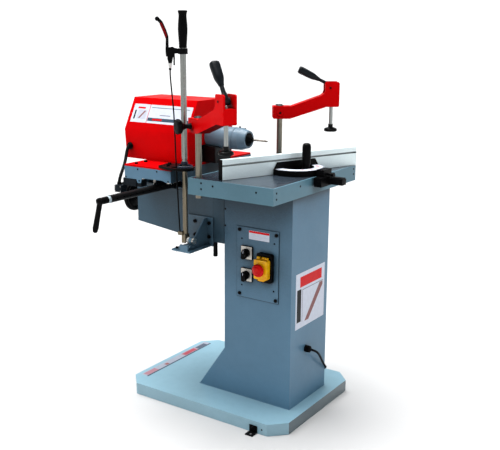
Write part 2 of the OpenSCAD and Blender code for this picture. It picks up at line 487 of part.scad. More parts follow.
// ---------- clamps ----------
pv = [190, 121];
module clamp_post(p, bz) color(steel) difference() {
  rz(797, bz + 52, p[0], p[1], post_r);
  rz(bz + 40, bz + 53, p[0], p[1], 8);
}
module clamp_arm(i) color(red) at_arm(i) {
  s = i == 1 ? -1 : 1;
  difference() {
    union() {
      prism_y([[-28, 8], [-24, 4], [37.5, 4], [176, 49], [221, 49], [225, 53], [225, 138.5], [220, 143.5], [174, 143.5], [169.5, 138.5], [169.5, 110], [166, 100], [158, 92.6], [42, 51], [36, 52], [-25, 52], [-28, 49]], -arm_w / 2, arm_w / 2);
      ry(s > 0 ? arm_w / 2 - 1 : -arm_w / 2 - 3, s > 0 ? arm_w / 2 + 3 : -arm_w / 2 + 1, 0, 26, 13);
      ry(s > 0 ? -arm_w / 2 - 1 : arm_w / 2 - 1, s > 0 ? -arm_w / 2 + 1 : arm_w / 2 + 1, 0, 26, 13);
    }
    rz(-1, 53, 0, 0, post_r + rf);
    ry(s > 0 ? 0 : -arm_w, s > 0 ? arm_w : 0, 0, 26, 5 + rf);
    blk(165, 230, -18, 18, 100, 150);
    rz(40, 101, 197.5, 0, 7 + rf);
    ry(-arm_w, arm_w, pv[0], pv[1], 4 + rf);
  }
}
module clamp_knob(i) color(black) at_arm(i) translate([0, 0, 26]) rotate([i == 1 ? 90 : -90, 0, 0]) {
  rz(11.4, 66, 0, 0, 5);
  rz(27.3, 57, 0, 0, 10, 8);
  translate([0, 0, 56]) rotate_extrude() polygon([[0, 0], [10, 0], [12, 7], [23, 8], [26, 11], [26.5, 16], [25.5, 21], [21, 25], [8, 26], [0, 26]]);
}
module cam_lever(i) color(black) at_arm(i) {
  ry(-arm_w / 2 - 1.5, arm_w / 2 + 1.5, pv[0], pv[1], 4);
  difference() {
    union() {
      ry(-14, 14, pv[0], pv[1], 13);
      translate([pv[0], 0, pv[1]]) rotate([0, -(i == 1 ? cam1_lean : cam2_lean), 0]) {
        blk(0, 24, -8, 8, -15, -2);
        rx(22, 60, 0, -9, 6.5);
        for (y = [-3.6, 3.6]) translate([48, y, -9]) rotate([0, 90, 0]) rotate_extrude() polygon([[0, 0], [7.5, 0], [9, 12], [12.5, 30], [14.4, 52], [14.4, 79], [12.4, 85], [8, 88], [0, 89]]);
      }
    }
  }
}
module plunger(i) color(steel) at_arm(i) {
  rz(-20, 106.9, 197.5, 0, 7);
  rz(-31, -18, 197.5, 0, 9.5);
  translate([197.5, 0, -46]) rotate_extrude() polygon([[0, 0], [22, 0], [25, 3], [25, 8], [22, 12], [12, 15.5], [0, 16]]);
}
module clamp_post_1() clamp_post(post1, boss_z1);
module clamp_post_2() clamp_post(post2, boss_z2);
module clamp_arm_1() clamp_arm(1);
module clamp_arm_2() clamp_arm(2);
module clamp_knob_1() clamp_knob(1);
module clamp_knob_2() clamp_knob(2);
module cam_lever_1() cam_lever(1);
module cam_lever_2() cam_lever(2);
module plunger_1() plunger(1);
module plunger_2() plunger(2);

// ---------- angle gauge ----------
pro_z = table_z + 0.6;
st_x = 262;
fy = 3.4;                      // fence face in the head's own frame
fx0 = -fence_l / 2 - 13.5; fx1 = fence_l / 2 - 13.5;
module gauge_bar() color(black) {
  blk(128, 410, slot_y - slot_w / 2 + rf, slot_y + slot_w / 2 - rf, table_z - slot_d + rf, table_z - 0.2);
  blk(328.5, 357.5, slot_y - 62, slot_y + 12, table_z - 30, table_z + 1);
  blk(322.5, 351, slot_y - 36, slot_y + 20, table_z + 0.4, table_z + 25);
  blk(357, 411, slot_y - 14, slot_y + 14, table_z - 25, table_z - 4);
  rz(table_z - 1, pro_z + 8, gp[0], gp[1], 2.8);
  rz(table_z - 1, pro_z + 30, st_x, slot_y, 5);
  rx(350, 366, slot_y - 6, table_z + 8, 4);
  rx(366, 375, slot_y - 6, table_z + 8, 7);
}
// local frame of the gauge head: +x along the fence, -y towards the free side
module half_disc(r0, r1, h) translate([0, 0, pro_z]) linear_extrude(h) intersection() {
  difference() { circle(r1, $fn = 96); circle(r0, $fn = 96); }
  translate([-r1 - 1, -r1 - 1]) square([2 * r1 + 2, r1 + 1 + fy]);
}
module protractor() color(black) at_fence() difference() {
  union() {
    translate([0, 0, pro_z]) linear_extrude(9) intersection() { circle(98, $fn = 96); translate([-99, -99]) square([198, 99 + fy]); }
    half_disc(63, 98, 20);
    prism_y([[-97, pro_z], [97, pro_z], [97, pro_z + 18], [82, pro_z + 42], [-82, pro_z + 42], [-97, pro_z + 18]], fy - 8, fy);
  }
  rz(pro_z - 1, pro_z + 8.5, 0, 0, 2.8 + rf);
  rotate([0, 0, -124]) translate([0, 0, pro_z - 1]) rotate_extrude(angle = 80) translate([34.4, 0]) square([11.2, 12]);
  for (a = [-124, -44]) rz(pro_z - 1, pro_z + 11, 40 * cos(a), 40 * sin(a), 5.6);
}
module fence() color(silver) at_fence() difference() {
  union() {
    blk(fx0 + 3, fx1 - 3, fy, fy + 18, pro_z, pro_z + fence_h);
    blk(fx0, fx0 + 3, fy, fy + 18, pro_z, pro_z + fence_h);
    blk(fx1 - 3, fx1, fy, fy + 18, pro_z, pro_z + fence_h);
  }
  blk(fx0 + 3, fx1 - 3, fy - 1, fy + 3, pro_z + fence_h * 0.66, pro_z + fence_h * 0.66 + 6);
  blk(fx0 + 3, fx1 - 3, fy + 2, fy + 8, pro_z + fence_h * 0.66 - 3, pro_z + fence_h * 0.66 + 9);
  for (z = [6, 28]) blk(fx0 + 3, fx1 - 3, fy + 8, fy + 14, pro_z + z, pro_z + z + 14);
}
module gauge_handle() color(black) difference() {
  union() {
    rz(pro_z + 10, pro_z + 22, st_x, slot_y, 16, 13);
    rz(pro_z + 22, pro_z + 30, st_x, slot_y, 13);
    translate([st_x, slot_y, pro_z + 30]) rotate_extrude() polygon([[0, 0], [13, 0], [14.6, 8], [15.2, 30], [15.2, 62], [13.6, 71], [8.5, 75], [0, 76]]);
  }
  rz(pro_z + 5, pro_z + 30.5, st_x, slot_y, 5 + rf);
}

base_plate();
column();
floor_brackets();
table_frame();
table_top();
control_panel();
switch_plates();
estop_box();
column_way();
frame_screws();
cord_gland();
mains_cord();
mains_coil();
mains_plug();
rotary_knob_1();
rotary_knob_2();
estop_flap();
estop_button();
start_button();
knee_housing();
cross_rods();
lever_bracket();
knee_screws();
height_screw();
handwheel();
saddle();
index_bar();
kip_lever();
carriage_tray();
motor_plate();
carriage_rods();
motor_cover();
spindle_motor();
ring_plate();
motor_cable();
junction_box();
carriage_screws();
chuck();
drill_bit();
index_pin();
lever_yoke();
hand_lever();
lever_grip();
brake_bracket();
brake_cable();
brake_lever();
clamp_post_1();
clamp_arm_1();
clamp_knob_1();
cam_lever_1();
plunger_1();
clamp_post_2();
clamp_arm_2();
clamp_knob_2();
cam_lever_2();
plunger_2();
gauge_bar();
protractor();
fence();
gauge_handle();
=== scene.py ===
import math

import bmesh
import bpy
from mathutils import Matrix, Vector


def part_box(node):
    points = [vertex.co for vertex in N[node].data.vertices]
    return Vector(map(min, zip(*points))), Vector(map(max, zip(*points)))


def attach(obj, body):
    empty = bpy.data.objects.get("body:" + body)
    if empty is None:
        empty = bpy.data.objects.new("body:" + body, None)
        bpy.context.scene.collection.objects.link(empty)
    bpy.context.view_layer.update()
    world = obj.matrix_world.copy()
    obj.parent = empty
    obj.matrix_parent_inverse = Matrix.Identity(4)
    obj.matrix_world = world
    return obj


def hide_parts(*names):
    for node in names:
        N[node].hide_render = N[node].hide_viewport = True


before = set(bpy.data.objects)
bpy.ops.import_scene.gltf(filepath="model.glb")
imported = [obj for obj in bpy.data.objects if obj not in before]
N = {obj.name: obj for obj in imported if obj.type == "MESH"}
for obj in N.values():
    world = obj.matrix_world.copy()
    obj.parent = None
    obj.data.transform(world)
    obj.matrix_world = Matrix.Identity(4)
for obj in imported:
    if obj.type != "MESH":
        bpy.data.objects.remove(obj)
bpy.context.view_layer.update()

scene = bpy.context.scene
scene.view_settings.view_transform = "Standard"
MM = 0.001


# ------------------------------------------------------------------ camera
def make_camera():
    az, el, ro = math.radians(33.8962), math.radians(-13.681), math.radians(0.3446)
    right = Vector((math.cos(az), math.sin(az), 0))
    fwd = Vector((-math.sin(az) * math.cos(el), math.cos(az) * math.cos(el), math.sin(el)))
    up = right.cross(fwd)
    r = right * math.cos(ro) + up * math.sin(ro)
    u = -right * math.sin(ro) + up * math.cos(ro)
    c = Vector((1.6365, -2.3722, 1.3531))
    cam = bpy.data.objects.new("camera", bpy.data.cameras.new("camera"))
    cam.matrix_world = Matrix(((r.x, u.x, -fwd.x, c.x), (r.y, u.y, -fwd.y, c.y), (r.z, u.z, -fwd.z, c.z), (0, 0, 0, 1)))
    cam.data.sensor_fit = "HORIZONTAL"
    cam.data.sensor_width = 36
    cam.data.lens = 801.856 / 500 * 36
    cam.data.clip_end = 300
    scene.collection.objects.link(cam)
    scene.camera = cam


make_camera()


# ------------------------------------------------------------------ materials
def srgb(r, g, b):
    f = lambda c: c / 12.92 if c <= 0.04045 else ((c + 0.055) / 1.055) ** 2.4
    return (f(r / 255), f(g / 255), f(b / 255), 1.0)


def shade(c, k):
    return (min(1, c[0] * k), min(1, c[1] * k), min(1, c[2] * k), 1.0)


class Mat:
    """A small builder of node materials on one Principled shader."""

    def __init__(self, name, rough=0.5, metallic=0.0, coat=0.0, coat_rough=0.1, spec=0.5):
        self.m = bpy.data.materials.new(name)
        self.m.use_nodes = True
        self.t = self.m.node_tree
        self.b = self.t.nodes["Principled BSDF"]
        self.b.inputs["Metallic"].default_value = metallic
        self.b.inputs["Roughness"].default_value = rough
        self.b.inputs["Coat Weight"].default_value = coat
        self.b.inputs["Coat Roughness"].default_value = coat_rough
        self.b.inputs["Specular IOR Level"].default_value = spec
        self.coord = self.t.nodes.new("ShaderNodeTexCoord").outputs["Object"]

    def new(self, kind, **props):
        n = self.t.nodes.new(kind)
        for k, v in props.items():
            setattr(n, k, v)
        return n

    def link(self, a, b):
        self.t.links.new(a, b)

    def mapped(self, stretch=(1, 1, 1), rot=(0, 0, 0)):
        n = self.new("ShaderNodeMapping")
        n.inputs["Rotation"].default_value = rot
        n.inputs["Scale"].default_value = stretch
        self.link(self.coord, n.inputs["Vector"])
        return n.outputs["Vector"]

    def noise(self, scale, detail=3.0, rough=0.55, stretch=None, rot=(0, 0, 0)):
        n = self.new("ShaderNodeTexNoise")
        n.inputs["Scale"].default_value = scale
        n.inputs["Detail"].default_value = detail
        n.inputs["Roughness"].default_value = rough
        self.link(self.mapped(stretch, rot) if stretch else self.coord, n.inputs["Vector"])
        return n.outputs["Fac"]

    def voronoi(self, scale, feature="F1"):
        n = self.new("ShaderNodeTexVoronoi", feature=feature)
        n.inputs["Scale"].default_value = scale
        self.link(self.coord, n.inputs["Vector"])
        return n.outputs["Distance"]

    def ramp(self, fac, lo, hi, a=0.0, b=1.0):
        n = self.new("ShaderNodeMapRange", clamp=True, interpolation_type="SMOOTHSTEP")
        n.inputs["From Min"].default_value = lo
        n.inputs["From Max"].default_value = hi
        n.inputs["To Min"].default_value = a
        n.inputs["To Max"].default_value = b
        self.link(fac, n.inputs["Value"])
        return n.outputs["Result"]

    def math(self, op, a, b):
        n = self.new("ShaderNodeMath", operation=op)
        for i, v in enumerate((a, b)):
            if isinstance(v, (int, float)):
                n.inputs[i].default_value = v
            else:
                self.link(v, n.inputs[i])
        return n.outputs[0]

    def mix(self, fac, a, b):
        n = self.new("ShaderNodeMix", data_type="RGBA")
        self.link(fac, n.inputs["Factor"])
        for key, v in (("A", a), ("B", b)):
            s = [i for i in n.inputs if i.name == key and i.type == "RGBA"][0]
            if isinstance(v, tuple):
                s.default_value = v
            else:
                self.link(v, s)
        return [o for o in n.outputs if o.type == "RGBA"][0]

    def edge(self, radius, lo=0.02, hi=0.22):
        """1 along convex and concave edges, 0 on flat faces."""
        bev = self.new("ShaderNodeBevel", samples=4)
        bev.inputs["Radius"].default_value = radius
        geo = self.new("ShaderNodeNewGeometry")
        dot = self.new("ShaderNodeVectorMath", operation="DOT_PRODUCT")
        self.link(bev.outputs["Normal"], dot.inputs[0])
        self.link(geo.outputs["Normal"], dot.inputs[1])
        return self.ramp(self.math("SUBTRACT", 1.0, dot.outputs["Value"]), lo, hi)

    def sky(self, dist=0.22, tilt=0.9):
        """1 where the face is open to above, 0 under overhangs and on undersides; the materials paint shade where it is
        low.
        """
        geo = self.new("ShaderNodeNewGeometry")
        up = self.new("ShaderNodeVectorMath", operation="ADD")
        up.inputs[1].default_value = (0, 0, tilt)
        self.link(geo.outputs["Normal"], up.inputs[0])
        unit = self.new("ShaderNodeVectorMath", operation="NORMALIZE")
        self.link(up.outputs["Vector"], unit.inputs[0])
        ao = self.new("ShaderNodeAmbientOcclusion", samples=8)
        ao.inputs["Distance"].default_value = dist
        self.link(unit.outputs["Vector"], ao.inputs["Normal"])
        return ao.outputs["AO"]

    def sep(self):
        n = self.new("ShaderNodeSeparateXYZ")
        self.link(self.coord, n.inputs[0])
        return n.outputs

    def color(self, socket):
        self.link(socket, self.b.inputs["Base Color"])

    def rough(self, fac, a, b):
        self.link(self.ramp(fac, 0.25, 0.75, a, b), self.b.inputs["Roughness"])

    def bump(self, height, strength, dist):
        n = self.new("ShaderNodeBump")
        n.inputs["Strength"].default_value = strength
        n.inputs["Distance"].default_value = dist
        self.link(height, n.inputs["Height"])
        self.link(n.outputs["Normal"], self.b.inputs["Normal"])


def enamel(name, col, rough=(0.34, 0.46), spec=0.2, coat=0.12, var=0.06, wear=srgb(150, 158, 162), wear_k=0.4, tint=None, painted_shade=0.8, reach=0.4, shade_tone=0.16, tilt=0.9, span=(0.28, 0.84), coat_rough=0.22,
           fade=None, end=0.0):
    """Sprayed enamel: cloudy tone, orange-peel bump, faint dust and rubbed edges, with painted shade under overhangs
    and on undersides, and on faces turned towards +X where end is given.
    """
    m = Mat(name, coat=coat, coat_rough=coat_rough, spec=spec)
    big = m.ramp(m.noise(2.6, 4, 0.6), 0.3, 0.7)
    c = m.mix(big, shade(col, 1 - var), shade(col, 1 + var))
    fine = m.ramp(m.noise(38, 5, 0.65), 0.35, 0.75)
    c = m.mix(m.math("MULTIPLY", fine, 0.14), c, tint or shade(col, 0.72))
    specks = m.ramp(m.voronoi(210), 0.05, 0.14, 1.0, 0.0)
    keep = m.ramp(m.noise(23, 2), 0.58, 0.66)
    c = m.mix(m.math("MULTIPLY", m.math("MULTIPLY", specks, keep), 0.3), c, shade(col, 0.5))
    rub = m.math("MULTIPLY", m.edge(0.0013), m.ramp(m.noise(70, 4, 0.7), 0.5, 0.68, 0.0, wear_k))
    c = m.mix(rub, c, wear)
    # painted shade: darker under overhangs and on undersides, from an ambient-occlusion mask
    if painted_shade:
        shade_mask = m.ramp(m.sky(reach, tilt), span[0], span[1], painted_shade, 0.0)
        # the painted shade can fade out downwards along z
        if fade:
            shade_mask = m.math("MULTIPLY", shade_mask, m.ramp(m.sep()[2], fade[0], fade[1]))
        c = m.mix(shade_mask, c, shade(col, shade_tone))
    # painted shade: faces turned towards +X get a darker tone
    if end:
        n = m.new("ShaderNodeSeparateXYZ")
        m.link(m.new("ShaderNodeNewGeometry").outputs["Normal"], n.inputs[0])
        c = m.mix(m.ramp(n.outputs[0], 0.8, 0.96, 0.0, end), c, shade(col, 0.24))
    m.color(c)
    m.rough(m.noise(9, 4, 0.6), rough[0], rough[1])
    m.bump(m.noise(620, 2, 0.5), 0.05, 0.0006)
    return m.m


def moulded(name, col, rough=(0.4, 0.52), grain=0.1, scale=900, light=None, wear_k=0.22, spec=0.055):
    """Moulded plastic or rubber with fine grain and lighter rubbed edges, partly wear and partly a painted highlight.
    """
    m = Mat(name, spec=spec)
    c = m.mix(m.ramp(m.noise(30, 4, 0.6), 0.35, 0.7), shade(col, 0.8), shade(col, 1.25))
    # lighter edges: rubbed wear, and a painted highlight on dark mouldings
    rub = m.math("MULTIPLY", m.edge(0.0011), m.ramp(m.noise(90, 3, 0.6), 0.42, 0.7, 0.0, wear_k))
    c = m.mix(rub, c, light or tuple(min(1, x * 2.2 + 0.02) for x in col[:3]) + (1.0,))
    m.color(c)
    m.rough(m.noise(45, 3, 0.6), rough[0], rough[1])
    m.bump(m.noise(scale, 3, 0.6), grain, 0.0005)
    return m.m


def bare_metal(name, col, rough=(0.2, 0.36), stretch=(1, 1, 1), rot=(0, 0, 0), scale=240, stain=None, stain_k=0.35, bump=0.05,
               metallic=1.0, depth=0.12, below=None, along=None, tone=None, spec=0.5, painted_shade=0.0, reach=0.05):
    """Ground or drawn metal: fine lines along one direction, hazy smears and faint stains. A zone may be a dark
    coating, and recesses may get painted shade.
    """
    m = Mat(name, metallic=metallic, spec=spec)
    lines = m.noise(scale, 4, 0.6, stretch, rot)
    c = m.mix(m.ramp(lines, 0.3, 0.7), shade(col, 1 - depth), shade(col, 1 + depth * 0.6))
    c = m.mix(m.math("MULTIPLY", m.ramp(m.noise(12, 5, 0.65), 0.5, 0.72), stain_k), c, stain or shade(col, 0.55))
    if tone:
        c = m.mix(m.ramp(m.sep()[tone[0]], tone[1] - 0.0004, tone[1] + 0.0004, 1.0, 0.0), c, m.mix(m.ramp(lines, 0.3, 0.7), shade(tone[2], 0.85), shade(tone[2], 1.1)))
    both = m.math("ADD", m.math("MULTIPLY", lines, 0.6), m.math("MULTIPLY", m.noise(18, 3), 0.4))
    if below:
        axis, limit, dark = below
        if along:
            d = m.new("ShaderNodeVectorMath", operation="DOT_PRODUCT")
            d.inputs[1].default_value = along
            m.link(m.coord, d.inputs[0])
            where = d.outputs["Value"]
        else:
            where = m.sep()[axis]
        zone = m.ramp(where, limit - 0.0002, limit + 0.0002, 1.0, 0.0)
        c = m.mix(zone, c, m.mix(m.ramp(m.noise(60, 3), 0.35, 0.7), shade(dark, 0.8), shade(dark, 1.3)))
        m.link(m.math("MULTIPLY", m.math("SUBTRACT", 1.0, zone), metallic), m.b.inputs["Metallic"])
    # painted shade in recesses and under overhangs, from an ambient-occlusion mask
    if painted_shade:
        c = m.mix(m.ramp(m.sky(reach), 0.12, 0.75, painted_shade, 0.0), c, shade(col, 0.12))
    m.color(c)
    m.rough(both, rough[0], rough[1])
    m.bump(lines, bump, 0.0003)
    return m.m


INK = srgb(5, 5, 6)
GREY = srgb(90, 128, 154)
RED = srgb(212, 3, 7)
mat = {}
# strong painted shade under overhangs such as below the table, fading out below about half a metre
mat["grey"] = enamel("grey_enamel", GREY, painted_shade=0.97, shade_tone=0.13, fade=(0.1, 0.5))
# the base's +X end face is painted darker as shade
mat["grey_base"] = enamel("grey_enamel_base", srgb(139, 177, 193), coat=1.0, coat_rough=0.1, painted_shade=0.0, end=1.0)
# a darker copy of the grey enamel: painted shade for the knee, saddle, way and saddle guards, which sit in shade
mat["grey_shaded"] = enamel("grey_enamel_knee_shaded", srgb(57, 86, 104), coat=0.2)
mat["bracket"] = enamel("grey_enamel_bracket", srgb(82, 116, 138), coat=0.3)
mat["apron"] = enamel("apron_enamel", srgb(84, 122, 138))
# strong painted shade on the undersides of the arms and under overhangs
mat["red"] = enamel("red_enamel", RED, rough=(0.3, 0.4), coat=0.0, spec=0.016, var=0.05, wear=srgb(130, 10, 14), wear_k=0.3, tint=srgb(170, 2, 5),
                    painted_shade=0.92, reach=0.2, shade_tone=0.05, tilt=1.4, span=(0.12, 0.72))
mat["black_metal"] = moulded("black_oxide", INK, rough=(0.34, 0.48), grain=0.05, scale=420, light=srgb(95, 97, 100), wear_k=0.3)
mat["black_cast"] = moulded("black_casting", srgb(6, 6, 7), rough=(0.42, 0.56), grain=0.2, scale=380, light=srgb(60, 62, 66))
mat["black"] = moulded("black_moulding", INK)
mat["slate"] = moulded("slate_moulding", srgb(13, 18, 23), rough=(0.34, 0.46), spec=0.16)
# black rubber with a dark blue tint: painted reflection of the sky
mat["rubber_painted_reflection"] = moulded("bush_rubber_painted_reflection", srgb(13, 26, 48), rough=(0.35, 0.5), grain=0.06, scale=500, spec=0.35)
mat["rubber"] = moulded("sheath_rubber", srgb(7, 7, 8), rough=(0.5, 0.62), grain=0.08, scale=500)
mat["grip"] = moulded("grip_rubber", srgb(6, 6, 7), rough=(0.55, 0.7), grain=0.3, scale=650)
# pale blue-grey on the black grip's end: a painted highlight
mat["grip_end_highlight"] = moulded("grip_end_highlight", srgb(112, 138, 156), rough=(0.3, 0.4), grain=0.03, scale=300, spec=0.3)
mat["inlay"] = moulded("lever_inlay", srgb(120, 8, 14), rough=(0.4, 0.5), grain=0.08, light=srgb(170, 40, 44))
mat["post_cap"] = moulded("post_cap", srgb(30, 33, 36), rough=(0.34, 0.46), grain=0.06, spec=0.25)
# dark frame material that paints the shadow line round the control panel
mat["panel_shadow"] = moulded("panel_shadow_frame", srgb(48, 66, 78), rough=(0.6, 0.7), grain=0.2, scale=700)
mat["dark"] = moulded("dark_moulding", srgb(22, 28, 34))
mat["yellow"] = moulded("yellow_moulding", srgb(255, 178, 3), rough=(0.26, 0.36), grain=0.04, light=srgb(255, 206, 60), wear_k=0.2, spec=0.25)
mat["redplastic"] = moulded("red_moulding", srgb(190, 8, 8), rough=(0.22, 0.32), grain=0.03, light=srgb(240, 60, 50), wear_k=0.2, spec=0.12)
mat["green"] = moulded("green_moulding", srgb(30, 140, 70), rough=(0.2, 0.3), grain=0.03, spec=0.12)
mat["steel_x"] = bare_metal("ground_steel_x", srgb(190, 188, 182), stretch=(0.05, 1, 1))
mat["steel_y"] = bare_metal("ground_steel_y", srgb(190, 188, 182), stretch=(1, 0.05, 1))
mat["post"] = bare_metal("drawn_post", srgb(124, 119, 107), rough=(0.24, 0.4), stretch=(1, 1, 0.03), stain=srgb(98, 84, 66), stain_k=0.5)
mat["plunger_1"] = bare_metal("plunger_and_pad_1", srgb(150, 154, 152), rough=(0.24, 0.42), stretch=(1, 1, 0.05), below=(2, 0.9982, INK), spec=0.12)
mat["plunger_2"] = bare_metal("plunger_and_pad_2", srgb(150, 154, 152), rough=(0.24, 0.42), stretch=(1, 1, 0.05), below=(2, 1.0022, INK), spec=0.12)
mat["tube"] = bare_metal("plated_tube", srgb(136, 139, 136), rough=(0.2, 0.36), stretch=(1, 1, 0.02), stain=srgb(112, 110, 100), stain_k=0.4, tone=(2, 0.9108, srgb(116, 108, 92)))
mat["bar"] = bare_metal("index_bar_and_ring", srgb(6, 6, 7), rough=(0.45, 0.6), stretch=(1, 0.05, 1), metallic=0.0, below=(1, -0.4678, srgb(176, 190, 196)), stain=srgb(13, 14, 15), spec=0.1)
mat["pin"] = bare_metal("turned_steel", srgb(188, 186, 180), rough=(0.22, 0.34), scale=500)
mat["drill"] = bare_metal("drill_steel", srgb(120, 112, 102), rough=(0.25, 0.4), scale=500)
mat["table"] = bare_metal("ground_table", srgb(84, 98, 113), rough=(0.16, 0.27), stretch=(1, 0.03, 1), scale=320, stain=srgb(62, 60, 64), stain_k=0.35, metallic=0.7, depth=0.08)
FC, FS = math.cos(math.radians(68.6)), math.sin(math.radians(68.6))
# the fence's groove and hollows get painted shade
mat["alu"] = bare_metal("anodised_bar", srgb(236, 251, 254), rough=(0.34, 0.44), stretch=(0.02, 1, 1), rot=(0, 0, math.radians(-68.6)), scale=300,
                        stain=srgb(214, 234, 240), stain_k=0.2, metallic=0.05, depth=0.04, below=(0, 0.222 * FC + 0.022 * FS - 0.3055, INK), along=(FC, FS, 0), painted_shade=0.95)
mat["silver"] = bare_metal("switch_face", srgb(206, 202, 194), rough=(0.34, 0.46), stretch=(0.04, 1, 1), scale=500, metallic=0.4, depth=0.06)
mat["barrel"] = bare_metal("bright_barrel", srgb(205, 205, 202), rough=(0.25, 0.35), scale=400, metallic=0.8)


def motor_paint():
    """Pale enamel on the motor and black on its foot block."""
    m = Mat("motor_enamel_and_foot", spec=0.14, coat=0.25, coat_rough=0.2)
    xyz = m.sep()
    foot = m.math("MULTIPLY", m.math("LESS_THAN", xyz[2], 0.9412), m.math("LESS_THAN", xyz[0], -0.0775))
    big = m.ramp(m.noise(3, 4, 0.6), 0.3, 0.7)
    pale, dark = srgb(104, 126, 142), srgb(5, 6, 7)
    c = m.mix(foot, m.mix(big, shade(pale, 0.94), shade(pale, 1.06)), m.mix(big, shade(dark, 0.8), shade(dark, 1.3)))
    rub = m.math("MULTIPLY", m.edge(0.0012), m.ramp(m.noise(70, 4, 0.7), 0.48, 0.66, 0.0, 0.3))
    m.color(m.mix(rub, c, srgb(176, 184, 190)))
    m.rough(m.noise(9, 4, 0.6), 0.34, 0.48)
    m.bump(m.noise(620, 2, 0.5), 0.05, 0.0006)
    return m.m


mat["motor"] = motor_paint()


def printed(name, col, rough=0.42):
    """Plain sticker film with faint mottling."""
    m = Mat(name, rough=rough, spec=0.12)
    m.color(m.mix(m.ramp(m.noise(60, 4, 0.6), 0.35, 0.7), shade(col, 0.95), shade(col, 1.02)))
    m.rough(m.noise(20, 3), rough - 0.06, rough + 0.08)
    m.bump(m.noise(260, 2), 0.03, 0.0003)
    return m.m


for key, col in dict(white=(212, 218, 232), film_red=(214, 12, 18), film_pink=(226, 150, 152), film_grey=(96, 104, 116), film_lilac=(196, 200, 214),
                     film_brown=(140, 92, 92), film_strip=(152, 157, 170), strip_red=(164, 74, 86), strip_pink=(160, 118, 128), strip_grey=(84, 92, 106),
                     film_dark=(60, 78, 94), ink=(12, 12, 14)).items():
    mat[key] = printed("film_" + key, srgb(*col))

node_mat = {
    "base_plate": "grey_base", "column": "grey", "floor_brackets": "black_metal", "table_frame": "apron", "table_top": "table",
    "control_panel": "grey", "switch_plates": "black", "estop_box": "black", "column_way": "grey_shaded", "frame_screws": "black_metal",
    "cord_gland": "black", "mains_cord": "rubber", "mains_coil": "rubber", "mains_plug": "rubber",
    "rotary_knob_1": "black", "rotary_knob_2": "black", "estop_flap": "yellow", "estop_button": "redplastic", "start_button": "green",
    "knee_housing": "grey_shaded", "cross_rods": "steel_x", "lever_bracket": "bracket", "knee_screws": "black_metal", "height_screw": "black_metal",
    "handwheel": "black", "saddle": "grey_shaded", "index_bar": "bar", "kip_lever": "black",
    "carriage_tray": "grey", "motor_plate": "red", "carriage_rods": "steel_y", "motor_cover": "red", "spindle_motor": "motor",
    "ring_plate": "black_metal", "motor_cable": "rubber", "junction_box": "dark", "carriage_screws": "black_metal",
    "chuck": "black_metal", "drill_bit": "drill", "index_pin": "pin",
    "lever_yoke": "pin", "hand_lever": "tube", "lever_grip": "grip", "brake_bracket": "black_metal", "brake_cable": "rubber", "brake_lever": "black",
    "clamp_post_1": "post", "clamp_post_2": "post", "clamp_arm_1": "red", "clamp_arm_2": "red",
    "clamp_knob_1": "black", "clamp_knob_2": "black", "cam_lever_1": "slate", "cam_lever_2": "slate", "plunger_1": "plunger_1", "plunger_2": "plunger_2",
    "gauge_bar": "black_metal", "protractor": "black_cast", "fence": "alu", "gauge_handle": "black",
}
bevel_mm = {"motor_cover": 2.5, "clamp_arm_1": 2.0, "clamp_arm_2": 2.0, "base_plate": 2.5, "column": 2.0, "carriage_tray": 1.8, "knee_housing": 1.6,
            "estop_flap": 2.0, "estop_box": 2.5, "rotary_knob_1": 1.6, "rotary_knob_2": 1.6, "table_frame": 1.2, "table_top": 0.6,
            "fence": 0.5, "gauge_bar": 1.5, "protractor": 1.0, "junction_box": 1.5, "ring_plate": 1.2, "lever_bracket": 0.8, "brake_bracket": 1.5,
            "brake_lever": 1.2, "floor_brackets": 0.6, "control_panel": 0.5, "switch_plates": 0.8, "motor_plate": 0.8, "handwheel": 0.8}
no_bevel = {"mains_cord", "mains_coil", "motor_cable", "brake_cable", "drill_bit", "cross_rods", "carriage_rods", "index_pin"}


eased = []


def ease(piece, node, body, axis, at, near, cut, along=None):
    """A piece in the place of a node, with a hair taken off one round surface, so that its flats clear what it turns in or over."""
    o = bpy.data.objects.new(piece, N[node].data.copy())
    scene.collection.objects.link(o)
    i, j = [k for k in range(3) if k != axis]
    for v in o.data.vertices:
        if along and not along[0] * MM <= v.co[axis] <= along[1] * MM:
            continue
        a, b = v.co[i] - at[0] * MM, v.co[j] - at[1] * MM
        d = math.hypot(a, b)
        if abs(d - near * MM) < 0.3 * MM:
            k = 1 - cut * MM / d
            v.co[i], v.co[j] = at[0] * MM + a * k, at[1] * MM + b * k
    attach(o, body)
    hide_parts(node)
    eased.append((node, o))


ease("post_bar_1", "clamp_post_1", "post_1", 2, (3, -253), 11, 0.12)
ease("post_bar_2", "clamp_post_2", "post_2", 2, (6.5, 253), 11, 0.12)
ease("index_rod", "index_bar", "index", 1, (-208, 803), 17, 0.3, (98, 112))
for name, o in list(N.items()) + eased:
    o.data.materials.clear()
    o.data.materials.append(mat[node_mat[name]])
    o.data.shade_smooth()
    o.data.set_sharp_from_angle(angle=math.radians(32))
    w = o.modifiers.new("weld", "WELD")
    w.merge_threshold = 2e-6
    if name not in no_bevel:
        d = o.modifiers.new("planar", "DECIMATE")
        d.decimate_type = "DISSOLVE"
        d.angle_limit = math.radians(0.4)
        b = o.modifiers.new("round", "BEVEL")
        b.width = bevel_mm.get(name, 0.5) * MM
        b.segments = 2
        b.limit_method = "ANGLE"
        b.angle_limit = math.radians(40)
        b.use_clamp_overlap = True
        wn = o.modifiers.new("normals", "WEIGHTED_NORMAL")
        wn.weight = 100
        wn.keep_sharp = True


